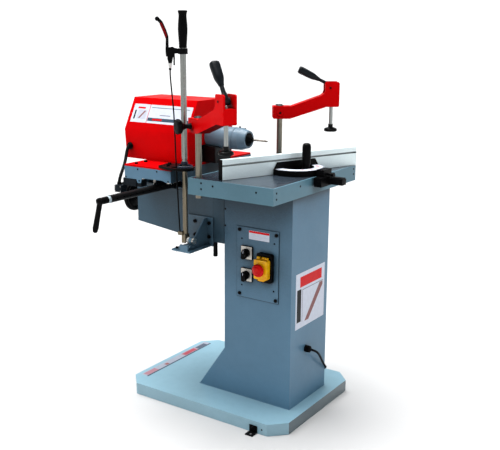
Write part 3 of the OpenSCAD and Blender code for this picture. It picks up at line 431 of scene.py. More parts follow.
# ------------------------------------------------------------------ mesh helpers
def add_piece(name, bm, material, body, smooth=True, angle=35, replaces=(), bevel=0.0, extra=()):
    me = bpy.data.meshes.new(name)
    bmesh.ops.recalc_face_normals(bm, faces=bm.faces)
    bm.to_mesh(me)
    bm.free()
    me.materials.append(mat[material])
    for e in extra:
        me.materials.append(mat[e])
    o = bpy.data.objects.new(name, me)
    scene.collection.objects.link(o)
    if smooth:
        me.shade_smooth()
        me.set_sharp_from_angle(angle=math.radians(angle))
    if bevel:
        b = o.modifiers.new("round", "BEVEL")
        b.width = bevel * MM
        b.segments = 2
        b.limit_method = "ANGLE"
        b.angle_limit = math.radians(40)
        wn = o.modifiers.new("normals", "WEIGHTED_NORMAL")
        wn.weight = 100
    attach(o, body)
    if replaces:
        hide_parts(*replaces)
    return o


def basis(origin, z, x=None):
    """Matrix, in metres from millimetres, whose Z runs along z."""
    z = Vector(z).normalized()
    x = Vector(x) if x is not None else (Vector((1, 0, 0)) if abs(z.x) < 0.8 else Vector((0, 1, 0)))
    y = z.cross(x).normalized()
    x = y.cross(z)
    o = Vector(origin)
    return Matrix(((x.x, y.x, z.x, o.x), (x.y, y.y, z.y, o.y), (x.z, y.z, z.z, o.z), (0, 0, 0, 1)))


def lathe(bm, m, prof, seg=32, wave=None, mat_index=0):
    """Turns a closed profile of (radius, height) about the matrix's Z. A radius may be a function of the angle."""
    rings = []
    for r, h in prof:
        if not callable(r) and r < 1e-6:
            rings.append([bm.verts.new(m @ Vector((0, 0, h)) * MM)])
            continue
        ring = []
        for k in range(seg):
            a = 2 * math.pi * k / seg
            rr = r(a) if callable(r) else r
            if wave:
                rr = wave(a, rr, h)
            ring.append(bm.verts.new(m @ Vector((rr * math.cos(a), rr * math.sin(a), h)) * MM))
        rings.append(ring)
    faces = []
    for a, b in zip(rings, rings[1:]):
        if len(a) == 1 and len(b) == 1:
            continue
        for k in range(seg):
            j = (k + 1) % seg
            if len(a) == 1:
                faces.append(bm.faces.new((a[0], b[j], b[k])))
            elif len(b) == 1:
                faces.append(bm.faces.new((a[k], a[j], b[0])))
            else:
                faces.append(bm.faces.new((a[k], a[j], b[j], b[k])))
    for f in faces:
        f.material_index = mat_index
    return faces


def hexa(a):
    """Radius of a hexagon with across-flats half width a, by angle."""
    def r(t):
        t = (t + math.pi / 6) % (math.pi / 3) - math.pi / 6
        return a / math.cos(t)
    return r


def cap_screw(bm, at, d, r, h, m=None):
    """Round head with a chamfer and a hexagon socket."""
    mm = basis(at, d)
    s = hexa(r * 0.46)
    lathe(bm, mm, [(0, -0.2), (r * 0.98, -0.2), (r, 0.05), (r, h * 0.78), (r * 0.9, h), (lambda a: s(a) * 1.08, h), (s, h - 0.12 * r), (s, h * 0.35), (0, h * 0.28)], 24)


def pan_screw(bm, at, d, r, h):
    """Domed head with a small hexagon recess."""
    mm = basis(at, d)
    s = hexa(r * 0.36)
    lathe(bm, mm, [(0, -0.1), (r, -0.1), (r, h * 0.2), (r * 0.93, h * 0.55), (r * 0.75, h * 0.86), (r * 0.5, h), (s, h), (s, h * 0.5), (0, h * 0.45)], 24)


def block(bm, m, lo, hi, r=0.0, mat_index=0):
    """Box in the matrix's own millimetre frame, with rounded edges where r is given."""
    c = [(lo[i] + hi[i]) / 2 for i in range(3)]
    s = [hi[i] - lo[i] for i in range(3)]
    ret = bmesh.ops.create_cube(bm, size=1.0)
    vs = ret["verts"]
    for v in vs:
        v.co = Vector((c[0] + v.co.x * s[0], c[1] + v.co.y * s[1], c[2] + v.co.z * s[2]))
    fs = {f for v in vs for f in v.link_faces}
    if r:
        es = {e for v in vs for e in v.link_edges}
        out = bmesh.ops.bevel(bm, geom=list(es), offset=r, segments=2, profile=0.5, affect="EDGES")
        fs = set(out["faces"]) | {f for f in fs if f.is_valid}
        vs = {v for f in fs for v in f.verts}
    for f in fs:
        f.material_index = mat_index
    for v in vs:
        v.co = (m @ v.co) * MM


def sheet(bm, m, pts, t, mat_index=0):
    """Flat film or plate: outline in the matrix's XY, thickness along its Z."""
    a = [bm.verts.new((m @ Vector((x, y, 0))) * MM) for x, y in pts]
    b = [bm.verts.new((m @ Vector((x, y, t))) * MM) for x, y in pts]
    n = len(pts)
    fs = [bm.faces.new(b), bm.faces.new(a[::-1])]
    fs += [bm.faces.new((a[k], a[(k + 1) % n], b[(k + 1) % n], b[k])) for k in range(n)]
    for f in fs:
        f.material_index = mat_index


def round_rect(x0, x1, y0, y1, r, n=5):
    pts = []
    for cx, cy, a0 in ((x1 - r, y1 - r, 0), (x0 + r, y1 - r, 90), (x0 + r, y0 + r, 180), (x1 - r, y0 + r, 270)):
        pts += [(cx + r * math.cos(math.radians(a0 + 90 * k / n)), cy + r * math.sin(math.radians(a0 + 90 * k / n))) for k in range(n + 1)]
    return pts


def smooth_path(pts, n=6):
    """Catmull-Rom curve through the points."""
    p = [Vector(q) for q in pts]
    p = [p[0] * 2 - p[1]] + p + [p[-1] * 2 - p[-2]]
    out = []
    for i in range(1, len(p) - 2):
        for k in range(n):
            t = k / n
            out.append(0.5 * ((2 * p[i]) + (-p[i - 1] + p[i + 1]) * t + (2 * p[i - 1] - 5 * p[i] + 4 * p[i + 1] - p[i + 2]) * t * t
                              + (-p[i - 1] + 3 * p[i] - 3 * p[i + 1] + p[i + 2]) * t ** 3))
    out.append(p[-2])
    return out


def cable(name, pts_mm, d, material, body, replaces=(), n=6):
    cu = bpy.data.curves.new(name, "CURVE")
    cu.dimensions = "3D"
    cu.bevel_depth = d / 2 * MM
    cu.bevel_resolution = 5
    cu.use_fill_caps = True
    path = smooth_path(pts_mm, n) if n > 1 else [Vector(p) for p in pts_mm]
    s = cu.splines.new("POLY")
    s.points.add(len(path) - 1)
    for q, v in zip(s.points, path):
        q.co = (v.x * MM, v.y * MM, v.z * MM, 1)
    s.use_smooth = True
    cu.materials.append(mat[material])
    o = bpy.data.objects.new(name, cu)
    scene.collection.objects.link(o)
    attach(o, body)
    if replaces:
        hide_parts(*replaces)
    return o, path


# ------------------------------------------------------------------ leads
cord_route = [
    (322.3, -20, 241.6), (329, -19, 240.8), (334, -13.5, 237.2), (336, -4, 231), (335.5, 7, 223), (333, 20, 213), (329, 34.5, 201),
    (325, 50, 186.5), (321, 66, 171), (317, 82, 156), (313, 98, 142), (309, 113, 129.5), (305.8, 125.5, 119.5), (300.5, 134, 112),
    (291, 140, 105), (278, 146.5, 98), (262, 153, 90.5), (246, 158, 83), (229, 161.5, 75), (213, 162.5, 66.5), (197, 160.3, 58.5),
    (181, 156, 52.3), (165, 151, 48.8), (150, 147, 47.8), (135, 144.6, 47.7), (120, 144, 47.7)]


def wound():
    """The coiled rest of the lead: two turns in, a step up, two turns out, then into the plug."""
    cx, cy, pts = 120.0, 197.0, []
    for k in range(1, 61):
        t = k / 60
        a = math.radians(270 - 720 * t)
        r = 53 - 16 * t
        pts.append((cx + r * math.cos(a), cy + r * math.sin(a), 47.7))
    for k in range(1, 13):
        t = k / 12
        a = math.radians(270 - 720 - 120 * t)
        pts.append((cx + 37 * math.cos(a), cy + 37 * math.sin(a), 47.7 + 8.5 * t * t * (3 - 2 * t)))
    for k in range(1, 53):
        t = k / 52
        a = math.radians(270 - 840 - 592 * t)
        r = 37 + 16 * t
        pts.append((cx + r * math.cos(a), cy + r * math.sin(a), 56.2))
    return pts


coil = wound()
tail = [(116, 145.0, 57.4), (108, 146.2, 59.4), (101, 147.4, 61.0), (96, 148, 61.7)]
lead, lead_path = cable("mains_lead", cord_route + coil + tail, 8, "rubber", "frame", ("mains_cord", "mains_coil"), 3)

motor_route = [
    (-411, -125, 928), (-411, -134, 928), (-411, -144, 926), (-409, -153, 917), (-405.5, -162, 904), (-401, -171, 892), (-395.5, -181, 880),
    (-389.5, -193, 868), (-384, -206, 856.5), (-378.5, -219, 845), (-374, -231, 833), (-371, -240, 821), (-370, -244, 811), (-370, -244, 801)]
motor_lead, _ = cable("motor_lead", motor_route, 12, "rubber", "carriage", ())

BR = math.radians(214)
LEV = Matrix.Translation((-80, -225, 0)) @ Matrix.Rotation(BR, 4, "Z")
brake_route = [
    (44, 1220), (44, 1206), (42.5, 1180), (40, 1150), (37, 1115), (34.5, 1080), (33, 1045), (32, 1010), (31, 975),
    (30, 940), (29, 905), (27.5, 865), (26, 825), (24.5, 785), (23, 745), (21.5, 710), (20, 680), (19, 662)]
cable("brake_lead", [tuple(LEV @ Vector((x, 0, z))) for x, z in brake_route], 5, "rubber", "lever", ("brake_cable",))


# ------------------------------------------------------------------ fasteners
def fasteners():
    bm = bmesh.new()
    for x, z in ((88, 675), (240, 674), (88, 441.5), (239.5, 440.5)):
        cap_screw(bm, (x, -131, z), (0, -1, 0), 6.0, 4.5)
    for x, z in ((97, 643.5), (231.5, 643), (97, 473.5), (230.8, 472.5)):
        pan_screw(bm, (x, -131, z), (0, -1, 0), 3.0, 1.5)
    for x, z in ((36, 856), (36, 836), (84, 850.5), (256, 849.5)):
        for sy in (-1, 1):
            pan_screw(bm, (x, 284 * sy, z), (0, sy, 0), 3.5, 1)
    for y, z in ((-266, 852), (-266, 832), (-118.5, 851.5), (122, 854), (267.5, 856.5), (267.5, 837.5)):
        pan_screw(bm, (322, y, z), (1, 0, 0), 3.5, 1)
    for z in (739, 679):
        pan_screw(bm, (23.6, -128, z), (0, -1, 0), 3.4, 1.6)
    pan_screw(bm, (274.6, -265.5, 18.5), (0, -1, 0), 3, 1)
    for sy in (-1, 1):
        cap_screw(bm, (240.4, 268.5 * sy, 16), (0, sy, 0), 6.5, 4)
    for z in (650, 770):
        for y in (-45, 45):
            cap_screw(bm, (23.5, y, z), (1, 0, 0), 8.5, 7)
    for x in (-20, 275):
        for y in (-108, 108):
            cap_screw(bm, (x, y, 51.6), (0, 0, 1), 9.5, 7)
    add_piece("stand_screws", bm, "black_metal", "frame", replaces=("frame_screws",))

    bm = bmesh.new()
    for x, z in ((-106.5, 679), (-42.5, 679), (-106.5, 629), (-42.5, 629)):
        cap_screw(bm, (x, -134, z), (0, -1, 0), 6.5, 6)
    m = basis((-108, -240, 0), (0, 0, 1))
    lathe(bm, m, [(0, 588), (2.4, 588), (3, 588.6), (3, 606.4), (2.4, 607), (0, 607)], 16)
    lathe(bm, m, [(0, 600), (hexa(4.4), 600), (hexa(4.4), 604.2), (3.6, 604.6), (0, 604.6)], 24)
    add_piece("knee_bolts", bm, "black_metal", "knee", replaces=("knee_screws",))

    bm = bmesh.new()
    for x, y in ((-301, -226), (-301, -175), (-301, 226), (-301, 175)):
        cap_screw(bm, (x, y, 881), (0, 0, 1), 6.5, 6)
    for x, y in ((-163, -205), (-150, -229)):
        cap_screw(bm, (x, y, 890), (0, 0, 1), 6.5, 6)
    for x, z in ((-275, 867), (-186, 867), (-135.4, 836.5), (-269, 826), (-332, 835)):
        for sy in (-1, 1):
            pan_screw(bm, (x, 249 * sy, z), (0, sy, 0), 3.2, 1.2)
    for x, a in ((-8, 10), (2, 38)):
        d = Vector((0, math.sin(math.radians(a)), math.cos(math.radians(a))))
        cap_screw(bm, Vector((x, 0, 971)) + d * 39.5, d, 3.5, 5)
    add_piece("carriage_bolts", bm, "black_metal", "carriage", replaces=("carriage_screws",))

    for i, (px, py, f) in enumerate(((3, -253, -26.5), (6.5, 253, 37))):
        a = math.radians(f)
        u, v = Vector((math.cos(a), math.sin(a), 0)), Vector((-math.sin(a), math.cos(a), 0))
        c = Vector((px, py, (1016, 1020)[i] + 26))
        side = 1 if i == 0 else -1
        tmp = bmesh.new()
        pan_screw(tmp, c + v * side * 25, v * side, 4.2, 0.9)
        add_piece("boss_plug_%d" % (i + 1), tmp, "black_metal", "arm_%d" % (i + 1))
        tmp = bmesh.new()
        for sy in (-1, 1):
            pan_screw(tmp, c + u * 190 + Vector((0, 0, 95)) + v * sy * 25.4, v * sy, 3.6, 0.8)
        add_piece("cam_pin_ends_%d" % (i + 1), tmp, "black_metal", "cam_%d" % (i + 1))


fasteners()


# ------------------------------------------------------------------ stickers and scales
def films(name, body, m, items):
    """Plain films in one mesh: (outline, material, layer)."""
    bm = bmesh.new()
    names = []
    for pts, key, layer in items:
        if key not in names:
            names.append(key)
        mm = m @ Matrix.Translation((0, 0, 0.02 + 0.12 * layer))
        sheet(bm, mm, pts, 0.12, names.index(key))
    return add_piece(name, bm, names[0], body, smooth=False, extra=names[1:])


def rect(x0, x1, y0, y1):
    return [(x0, y0), (x1, y0), (x1, y1), (x0, y1)]


def stickers():
    slope = basis((0, -138, 990), (0, -115, 60), (1, 0, 0))
    films("cover_sticker_left", "carriage", slope, [
        (round_rect(-419, -342.5, 30.5, 103, 2), "white", 0), (rect(-398, -362, 85, 92), "film_red", 1), (rect(-409, -402, 43, 78), "ink", 1),
        (rect(-393, -351, 44, 80), "film_lilac", 1), ([(-386, 47), (-378, 47), (-356, 77), (-364, 77)], "film_brown", 2)])
    films("cover_sticker_right", "carriage", slope, [
        (round_rect(-340, -142.5, 30.5, 103, 2), "white", 0), (rect(-338, -146, 38.7, 51.5), "film_dark", 1), (rect(-316, -270, 41.5, 48.5), "film_red", 2),
        (rect(-332, -155, 90.5, 93), "film_grey", 1), (rect(-286, -236, 62, 64.5), "film_grey", 1)])
    front = basis((0, -131, 0), (0, -1, 0), (1, 0, 0))
    items = [(round_rect(126.5, 211, 645.5, 676.5, 1.2), "white", 0), (rect(127, 210.5, 668.5, 676), "film_red", 1)]
    items += [(rect(130, 130 + w, z, z + 1.2), "film_lilac", 1) for z, w in ((664, 74), (660, 68), (656, 76), (652, 52), (648.5, 70))]
    films("panel_label", "frame", front, items)
    right = basis((300.2, 0, 0), (1, 0, 0), (0, 1, 0))
    films("column_decal", "frame", right, [
        (round_rect(-97, 106, 332, 535, 2), "white", 0), (rect(-68, 84, 482, 520), "film_red", 1), (rect(-88, -60, 356, 476), "ink", 1),
        (rect(-52, 96, 470, 472), "film_grey", 1), (rect(-52, -50, 352, 472), "film_grey", 1),
        ([(-34, 350), (-6, 350), (92, 456), (92, 468), (70, 468)], "film_brown", 1)])
    top = basis((0, 0, 43.6), (0, 0, 1), (1, 0, 0))
    # the dark band along the strip's +X edge is a painted shadow of its raised edge
    films("base_strip", "frame", top, [
        (rect(-333, -298, -195, 214), "film_strip", 0), (rect(-305, -298.2, -195, 214), "film_dark", 1), (rect(-330, -306, 48, 132), "strip_pink", 1),
        (rect(-327, -309, 54, 126), "strip_red", 2), (rect(-330, -306, -186, -122), "strip_pink", 1), (rect(-322, -308, -70, -52), "film_brown", 1),
        (rect(-326, -306, 136, 196), "strip_grey", 1)])


stickers()


def gauge_scale():
    m = Matrix.Translation((222, 22, 889.0)) @ Matrix.Rotation(math.radians(68.6), 4, "Z")
    bm = bmesh.new()

    def arc(r0, r1, a0, a1, z, t, k, n=48):
        def ring(zz):
            out = []
            for i in range(n + 1):
                a = math.radians(a0 + (a1 - a0) * i / n)
                out.append((bm.verts.new((m @ Vector((r0 * math.cos(a), r0 * math.sin(a), zz))) * MM), bm.verts.new((m @ Vector((r1 * math.cos(a), r1 * math.sin(a), zz))) * MM)))
            return out
        lo_, hi_ = ring(z), ring(z + t)
        fs = []
        for i in range(n):
            fs.append(bm.faces.new((hi_[i][0], hi_[i][1], hi_[i + 1][1], hi_[i + 1][0])))
            fs.append(bm.faces.new((lo_[i][0], lo_[i + 1][0], lo_[i + 1][1], lo_[i][1])))
            fs.append(bm.faces.new((lo_[i][1], lo_[i + 1][1], hi_[i + 1][1], hi_[i][1])))
            fs.append(bm.faces.new((lo_[i + 1][0], lo_[i][0], hi_[i][0], hi_[i + 1][0])))
        for i in (0, n):
            fs.append(bm.faces.new((lo_[i][0], lo_[i][1], hi_[i][1], hi_[i][0])))
        for f in fs:
            f.material_index = k

    arc(63.5, 96.5, 184, 356, 0.02, 0.15, 0)
    for d in range(-80, 81, 2):
        a = 270 + d
        long = 9 if d % 10 == 0 else (6 if d % 5 == 0 else 4)
        w = 0.5 if d % 10 == 0 else 0.32
        arc(95.5 - long, 95.5, a - w, a + w, 0.17, 0.1, 1, 1)
    for a0, a1 in ((300, 306), (322, 330), (336, 343), (246, 251), (272, 276)):
        arc(70, 81, a0, a1, 0.17, 0.1, 2, 6)
    add_piece("gauge_scale", bm, "white", "head", smooth=False, extra=("ink", "film_red"))


gauge_scale()


# ------------------------------------------------------------------ small pieces
def small_pieces():
    for i, (x, z) in enumerate(((121, 596), (121, 515.5))):
        m = basis((x, -138, z), (0, -1, 0), (1, 0, 0))
        bm = bmesh.new()
        sheet(bm, m, round_rect(-22.3, 22.3, -22.3, 22.3, 1.6), 0.22, 0)
        for a in (-60, 0, 60):
            mm = m @ Matrix.Rotation(math.radians(-a), 4, "Z")
            sheet(bm, mm, rect(-0.7, 0.7, 17.2, 20.6), 0.26, 1)
        add_piece("switch_face_%d" % (i + 1), bm, "silver", "frame", smooth=False, extra=("ink",))
        t = Matrix.Rotation(math.radians(8 if i == 0 else 0), 4, "Y")
        mm = Matrix.Translation((x, 0, z)) @ t @ basis((0, -161, 0), (0, -1, 0), (1, 0, 0))
        bm = bmesh.new()
        sheet(bm, mm, round_rect(-0.8, 0.8, 3, 12.5, 0.7, 3), 0.12)
        add_piece("knob_line_%d" % (i + 1), bm, "white", "rotary_%d" % (i + 1), smooth=False)

    # red inlay of the brake lever, bright barrel, tang and clamp screw
    bm = bmesh.new()
    pts = [(56.9, 1323), (65.5, 1345.5), (76.3, 1370.5), (72.5, 1376), (68, 1372), (58.5, 1351), (52, 1333)]
    flip = [(x, -z) for x, z in pts]
    sheet(bm, LEV @ basis((0, -3.3, 0), (0, 1, 0), (1, 0, 0)), flip, 6.6)
    add_piece("brake_inlay", bm, "inlay", "brake", smooth=False)
    bm = bmesh.new()
    lathe(bm, LEV @ basis((44, 0, 0), (0, 0, 1)), [(0, 1219.5), (2.9, 1219.5), (3.6, 1221), (4.8, 1229), (5.2, 1230), (5.2, 1232), (4.9, 1232.6), (6.2, 1240), (6.4, 1245), (6, 1246.5), (0, 1246.5)], 24)
    add_piece("brake_barrel", bm, "barrel", "lever")
    bm = bmesh.new()
    block(bm, LEV, (27.5, -2.2, 1236), (32.5, 2.2, 1272), 0.8)
    add_piece("brake_tang", bm, "black_metal", "lever")
    bm = bmesh.new()
    cap_screw(bm, LEV @ Vector((17, -8, 1283)), LEV.to_3x3() @ Vector((0, -1, 0)), 3, 2.6)
    add_piece("brake_clamp_screw", bm, "pin", "lever")

    # soft collar on the lever above the ring plate, black rubber with a painted blue reflection
    bm = bmesh.new()
    lathe(bm, basis((-80, -225, 0), (0, 0, 1)), [(8.4, 899), (10.9, 899), (11.6, 900.2), (11.6, 907.5), (10.9, 909.5), (10.3, 911), (8.4, 911), (8.4, 899)], 32)
    add_piece("lever_collar", bm, "rubber_painted_reflection", "lever")
    # bush on the ring plate, black rubber with a painted blue reflection
    bm = bmesh.new()
    # open towards the cable, like the slot in the plate under it
    ring = []
    for k in range(43):
        a = math.radians(-112 + 292 * k / 42)
        ring.append([bm.verts.new(((-80 + q * math.cos(a)) * MM, (-225 + q * math.sin(a)) * MM, z * MM))
                     for q, z in ((22.1, 890), (29, 890), (29.5, 891), (28.5, 896), (26, 897.5), (23, 897.5), (22.1, 896.5))])
    for a, b in zip(ring, ring[1:]):
        for k in range(7):
            bm.faces.new((a[k - 1], a[k], b[k], b[k - 1]))
    bm.faces.new(ring[0])
    bm.faces.new(ring[-1])
    add_piece("ring_bush", bm, "rubber_painted_reflection", "carriage")
    bm = bmesh.new()
    lathe(bm, basis((0, -225, 632), (1, 0, 0)), [(8.3, -67.6), (10.6, -67.6), (11.4, -66.8), (11.4, -60), (10.8, -59.3), (8.3, -59.3), (8.3, -67.6)], 32)
    add_piece("yoke_washer", bm, "barrel", "knee")

    # paint seam round the foot of the column
    bm = bmesh.new()
    for a, b in (((-97.6, -128, 43.6), (300.2, -128, 43.6)), ((300.2, -128, 43.6), (300.2, 128, 43.6)), ((300.2, 128, 43.6), (-97.6, 128, 43.6)), ((-97.6, 128, 43.6), (-97.6, -128, 43.6))):
        a, b = Vector(a), Vector(b)
        d = b - a
        mm = basis(a, d, (0, 0, 1))
        n = max(2, int(d.length / 5))
        prof = [(0, 0)] + [(1.7 + 0.35 * math.sin(i * 2.1) + 0.2 * math.sin(i * 5.3), d.length * i / n) for i in range(n + 1)] + [(0, d.length)]
        lathe(bm, mm, prof, 10)
    add_piece("column_seam", bm, "grey", "frame")

    # screws and gland of the junction box
    bm = bmesh.new()
    lathe(bm, basis((-370, -244, 0), (0, 0, 1)), [(5.8, 800.6), (hexa(8.2), 800.6), (hexa(8.2), 804), (8, 804.4), (8, 809), (7, 811), (6.2, 811.6), (5.8, 800.6)], 24)
    add_piece("box_gland", bm, "black", "carriage")
    bm = bmesh.new()
    for x in (-376, -350):
        pan_screw(bm, (x, -262, 797), (0, -1, 0), 1.9, 0.8)
        pan_screw(bm, (x, -262, 780), (0, -1, 0), 1.9, 0.8)
    add_piece("box_screws", bm, "pin", "carriage")

    # grommet of the motor lead and the plug's details
    bm = bmesh.new()
    lathe(bm, basis((-411, -134.2, 928), (0, -1, 0)), [(5.8, -4), (9.3, -4), (9.3, 0), (13, 0.1), (13.2, 1.2), (13, 2.8), (11.6, 4.2), (10.8, 5.6), (10.6, 6.6), (9.2, 8.6), (5.8, 9), (5.8, -4)], 32)
    g = add_piece("lead_grommet", bm, "rubber", "carriage")
    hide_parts("motor_cable")
    bm = bmesh.new()
    for x in (70, 75, 80, 85, 90):
        r = 11 - (x - 66) / 30 * 5
        lathe(bm, basis((0, 148, 61.7), (1, 0, 0)), [(r - 1, x), (r + 0.7, x), (r + 0.6, x + 2.4), (r - 1.3, x + 2.4), (r - 1, x)], 24)
    plug = add_piece("plug_ribs", bm, "rubber", "frame")
    return plug


plug_ribs = small_pieces()


# ------------------------------------------------------------------ handles, caps and guards
def oval(b, c, n=2.5):
    """Rounded-oval radius by angle: half width b at angle 0, c at a right angle."""
    return lambda a: ((abs(math.cos(a)) / b) ** n + (abs(math.sin(a)) / c) ** n) ** (-1 / n)


def lobed(rr, d, count=7):
    return lambda a: rr - d * (0.5 - 0.5 * math.cos(count * a))


def handles():
    turn = Matrix(((0, 0, 1, 0), (1, 0, 0, 0), (0, 1, 0, 0), (0, 0, 0, 1)))
    for i, (px, py, bz, f, lean) in enumerate(((3, -253, 1016, -26.5, 126), (6.5, 253, 1020, 37, 154))):
        k = i + 1
        arm = Matrix.Translation((px, py, bz)) @ Matrix.Rotation(math.radians(f), 4, "Z")
        v = arm.to_3x3() @ Vector((0, 1, 0))
        # cam lever: drum on its pin, web, slim stem and a flat-ended oval grip
        lev = arm @ Matrix.Translation((190, 0, 121)) @ Matrix.Rotation(math.radians(-lean), 4, "Y")
        bm = bmesh.new()
        drum = basis(lev @ Vector((0, 0, 0)), v)
        lathe(bm, drum, [(0, -14), (12, -14), (13, -13), (13, 13), (12, 14), (0, 14)], 40)
        lathe(bm, drum, [(0, -25.3), (3.8, -25.3), (3.8, 25.3), (0, 25.3)], 20)
        block(bm, lev, (0, -8, -15), (24, 8, -2), 2.0)
        axis = lev @ Matrix.Translation((0, 0, -9)) @ turn
        lathe(bm, axis, [(0, 15)] + [(oval(b, c), h) for b, c, h in ((6.6, 5.4, 15), (7.6, 6.2, 17), (7.2, 6.2, 34), (6.8, 6.0, 52))] + [(0, 53)], 40)
        prof = ((6.9, 50.5), (7.6, 52), (8.0, 56), (9.2, 62), (11.0, 69), (12.6, 76), (13.4, 84), (13.8, 96), (14.2, 112), (14.4, 125), (14.1, 131), (13.2, 134.6), (11.6, 136.4), (9.6, 136.9))
        lathe(bm, axis, [(0, 50.5)] + [(oval(c * 1.2, c), h) for c, h in prof] + [(0, 137)], 48)
        add_piece("cam_handle_%d" % k, bm, "slate", "cam_%d" % k, replaces=("cam_lever_%d" % k,))
        # lobed clamp knob with a waisted hub
        bm = bmesh.new()
        ax = basis((px, py, bz + 26), v * (-1 if i == 0 else 1))
        lathe(bm, ax, [(0, 11.4), (4.6, 11.4), (5, 12), (5, 27.3), (9.3, 27.3), (10, 28), (10, 33.5), (9, 35), (7.6, 39), (7.4, 44), (8.4, 50), (11.5, 56), (16.5, 60.5), (lobed(20.5, 0.6), 63),
                       (lobed(23.6, 1.6), 65.5), (lobed(25.6, 2.4), 68.5), (lobed(26.4, 2.8), 72.5), (lobed(26, 2.7), 76.5), (lobed(24.2, 2.2), 79.4), (lobed(20.5, 1.4), 81), (13, 81.7),
                       (9.4, 81.9), (8.8, 81.2), (4, 81.3), (0, 81.4)], 84)
        add_piece("star_knob_%d" % k, bm, "black", "knob_%d" % k, replaces=("clamp_knob_%d" % k,))
        # domed cap over the end of the post
        bm = bmesh.new()
        lathe(bm, basis((px, py, bz), (0, 0, 1)), [(0, 52.1), (14.6, 52.1), (15.2, 52.6), (15.1, 53.6), (13.6, 54.8), (11, 55.2), (10.4, 56), (8, 57.6), (4, 58.4), (0, 58.6)], 40)
        add_piece("post_cap_%d" % k, bm, "post_cap", "post_%d" % k)
        # raised seat round the plug on the boss
        bm = bmesh.new()
        side = 1 if i == 0 else -1
        lathe(bm, basis(Vector((px, py, bz + 26)) + v * side * 25, v * side), [(5, 0.02), (12.6, 0.02), (12.8, 0.5), (12.2, 1.1), (6.2, 1.1), (5.4, 0.7), (5, 0.02)], 40)
        add_piece("boss_seat_%d" % k, bm, "red", "arm_%d" % k)

    # rubber hand grip with fine rings, and its end cap, painted pale as a highlight
    shape = ((1293, 12.3), (1294.5, 12.9), (1305, 13.1), (1320, 14.2), (1340, 15.6), (1355, 16.0), (1370, 15.5), (1384, 14.2), (1395, 13.3), (1402, 13.4), (1407.5, 14.7), (1411, 15.7), (1413, 15.6), (1414.2, 14.2), (1414.6, 12.4))
    prof = []
    for (z0, r0), (z1, r1) in zip(shape, shape[1:]):
        n = max(1, int((z1 - z0) / 1.0))
        for j in range(n):
            z = z0 + (z1 - z0) * j / n
            t = j / n
            rib = 0.22 * math.cos(2 * math.pi * (z - 1305) / 4.0) if 1305 <= z <= 1400 else 0.0
            prof.append((r0 + (r1 - r0) * t + rib, z))
    bm = bmesh.new()
    lathe(bm, basis((-80, -225, 0), (0, 0, 1)), [(0, 1293)] + prof + [(12.4, 1414.6), (11.9, 1413.2), (0, 1413.2)], 48)
    add_piece("hand_grip", bm, "grip", "lever", replaces=("lever_grip",), angle=60)
    bm = bmesh.new()
    lathe(bm, basis((-80, -225, 0), (0, 0, 1)), [(0, 1413.3), (11.6, 1413.3), (11.6, 1414.2), (10.8, 1414.6), (6, 1414.8), (0, 1414.9)], 40)
    add_piece("grip_end", bm, "grip_end_highlight", "lever")

    # stop button: shallow mushroom head with a ring groove and a rim
    lo_, hi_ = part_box("estop_button")
    front = lo_[1] / MM
    cx, cz = (lo_[0] + hi_[0]) / 2 / MM, (lo_[2] + hi_[2]) / 2 / MM
    bm = bmesh.new()
    lathe(bm, basis((cx, front + 15.5, cz), (0, -1, 0)), [(0, -15), (7, -15), (7, -0.6), (9, 0), (20.4, 0), (22.4, 1.1), (23, 2.8), (22.9, 4.8), (22.1, 6.6), (20.6, 8.2), (18.4, 9.6), (16.2, 10.5),
                                                            (15.5, 10.3), (15, 9.9), (14.4, 10.2), (13.8, 11.1), (10, 12.4), (5, 13.1), (0, 13.3)], 56)
    add_piece("stop_mushroom", bm, "redplastic", "stop_button", replaces=("estop_button",), angle=50)

    # black end cap and groove plug of the fence
    fen = Matrix.Translation((222, 22, 0)) @ Matrix.Rotation(math.radians(68.6), 4, "Z")
    bm = bmesh.new()
    block(bm, fen, (-309.1, 3.2, 869.3), (-305.3, 21.6, 937.2), 0.6)
    block(bm, fen, (278.6, 3.2, 914.2), (281.9, 6.6, 919.6), 0.5)
    add_piece("fence_caps", bm, "black", "head")

    # dark frame round the control panel: a painted shadow line along its edges
    lo_, hi_ = (tuple(c / MM for c in q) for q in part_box("control_panel"))
    w = 1.3
    bm = bmesh.new()
    one = Matrix.Identity(4)
    for a, b in (((lo_[0] - w, lo_[2] - w), (hi_[0] + w, lo_[2] - 0.02)), ((lo_[0] - w, hi_[2] + 0.02), (hi_[0] + w, hi_[2] + w)),
                 ((lo_[0] - w, lo_[2] - 0.02), (lo_[0] - 0.02, hi_[2] + 0.02)), ((hi_[0] + 0.02, lo_[2] - 0.02), (hi_[0] + w, hi_[2] + 0.02))):
        block(bm, one, (a[0], -129.8, a[1]), (b[0], -128.02, b[1]))
    add_piece("panel_shadow_frame", bm, "panel_shadow", "frame", smooth=False)

    # folded guards on the saddle that close the gap above the knee
    for sy, name in ((-1, "front"), (1, "rear")):
        bm = bmesh.new()
        for x0, x1 in ((-382, -225), (-191, -135)):
            ys = sorted((127.5 * sy, 125.5 * sy))
            block(bm, one, (x0, ys[0], 786.2), (x1, ys[1], 794.2), 0.5)
            ys = sorted((126.5 * sy, 99.9 * sy))
            block(bm, one, (max(x0, -289.5), ys[0], 792.4), (x1, ys[1], 794.1), 0.4)
        add_piece("saddle_guard_" + name, bm, "grey_shaded", "saddle_body")


handles()

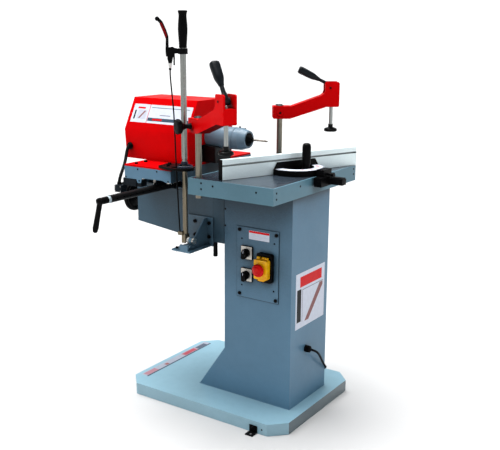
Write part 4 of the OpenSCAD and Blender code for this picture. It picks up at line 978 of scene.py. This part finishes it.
# ------------------------------------------------------------------ stage and light
def make_stage():
    bm = bmesh.new()
    bmesh.ops.create_grid(bm, x_segments=2, y_segments=2, size=60)
    me = bpy.data.meshes.new("floor")
    bm.to_mesh(me)
    bm.free()
    o = bpy.data.objects.new("floor", me)
    o.location.z = -0.0004
    scene.collection.objects.link(o)
    m = Mat("pale_floor", rough=0.7)
    m.color(m.mix(m.ramp(m.noise(1.2, 3), 0.3, 0.7), (0.50, 0.50, 0.50, 1), (0.53, 0.53, 0.53, 1)))
    me.materials.append(m.m)

    w = bpy.data.worlds.new("studio")
    scene.world = w
    w.use_nodes = True
    t = w.node_tree
    bg = t.nodes["Background"]
    co = t.nodes.new("ShaderNodeTexCoord")
    sp = t.nodes.new("ShaderNodeSeparateXYZ")
    rp = t.nodes.new("ShaderNodeValToRGB")
    t.links.new(co.outputs["Generated"], sp.inputs[0])
    t.links.new(sp.outputs[2], rp.inputs["Fac"])
    t.links.new(rp.outputs["Color"], bg.inputs["Color"])
    e = rp.color_ramp.elements
    e[0].position, e[0].color = 0.1, (1.0, 1.0, 1.0, 1)
    e[1].position, e[1].color = 0.24, (0.10, 0.11, 0.12, 1)
    far = e.new(0.7)
    far.color = (0.14, 0.15, 0.16, 1)
    bg.inputs["Strength"].default_value = 1.1

    sun = bpy.data.lights.new("overhead", "SUN")
    sun.energy = 6.9
    sun.angle = math.radians(50)
    so = bpy.data.objects.new("overhead", sun)
    so.rotation_euler = (math.radians(-2), math.radians(-12), 0)
    scene.collection.objects.link(so)

    def area(name, loc, target, size, power, col=(1, 1, 1)):
        li = bpy.data.lights.new(name, "AREA")
        li.shape = "RECTANGLE"
        li.size, li.size_y = size
        li.energy = power
        li.color = col
        ob = bpy.data.objects.new(name, li)
        ob.location = loc
        ob.rotation_euler = (Vector(target) - Vector(loc)).to_track_quat("-Z", "Y").to_euler()
        scene.collection.objects.link(ob)

    area("left_softbox", (-2.6, -3.0, 2.6), (0, 0, 0.8), (1.6, 2.4), 6)
    area("right_softbox", (2.3, 0.1, 2.0), (0.15, 0, 0.95), (1.2, 1.2), 6.5)


make_stage()
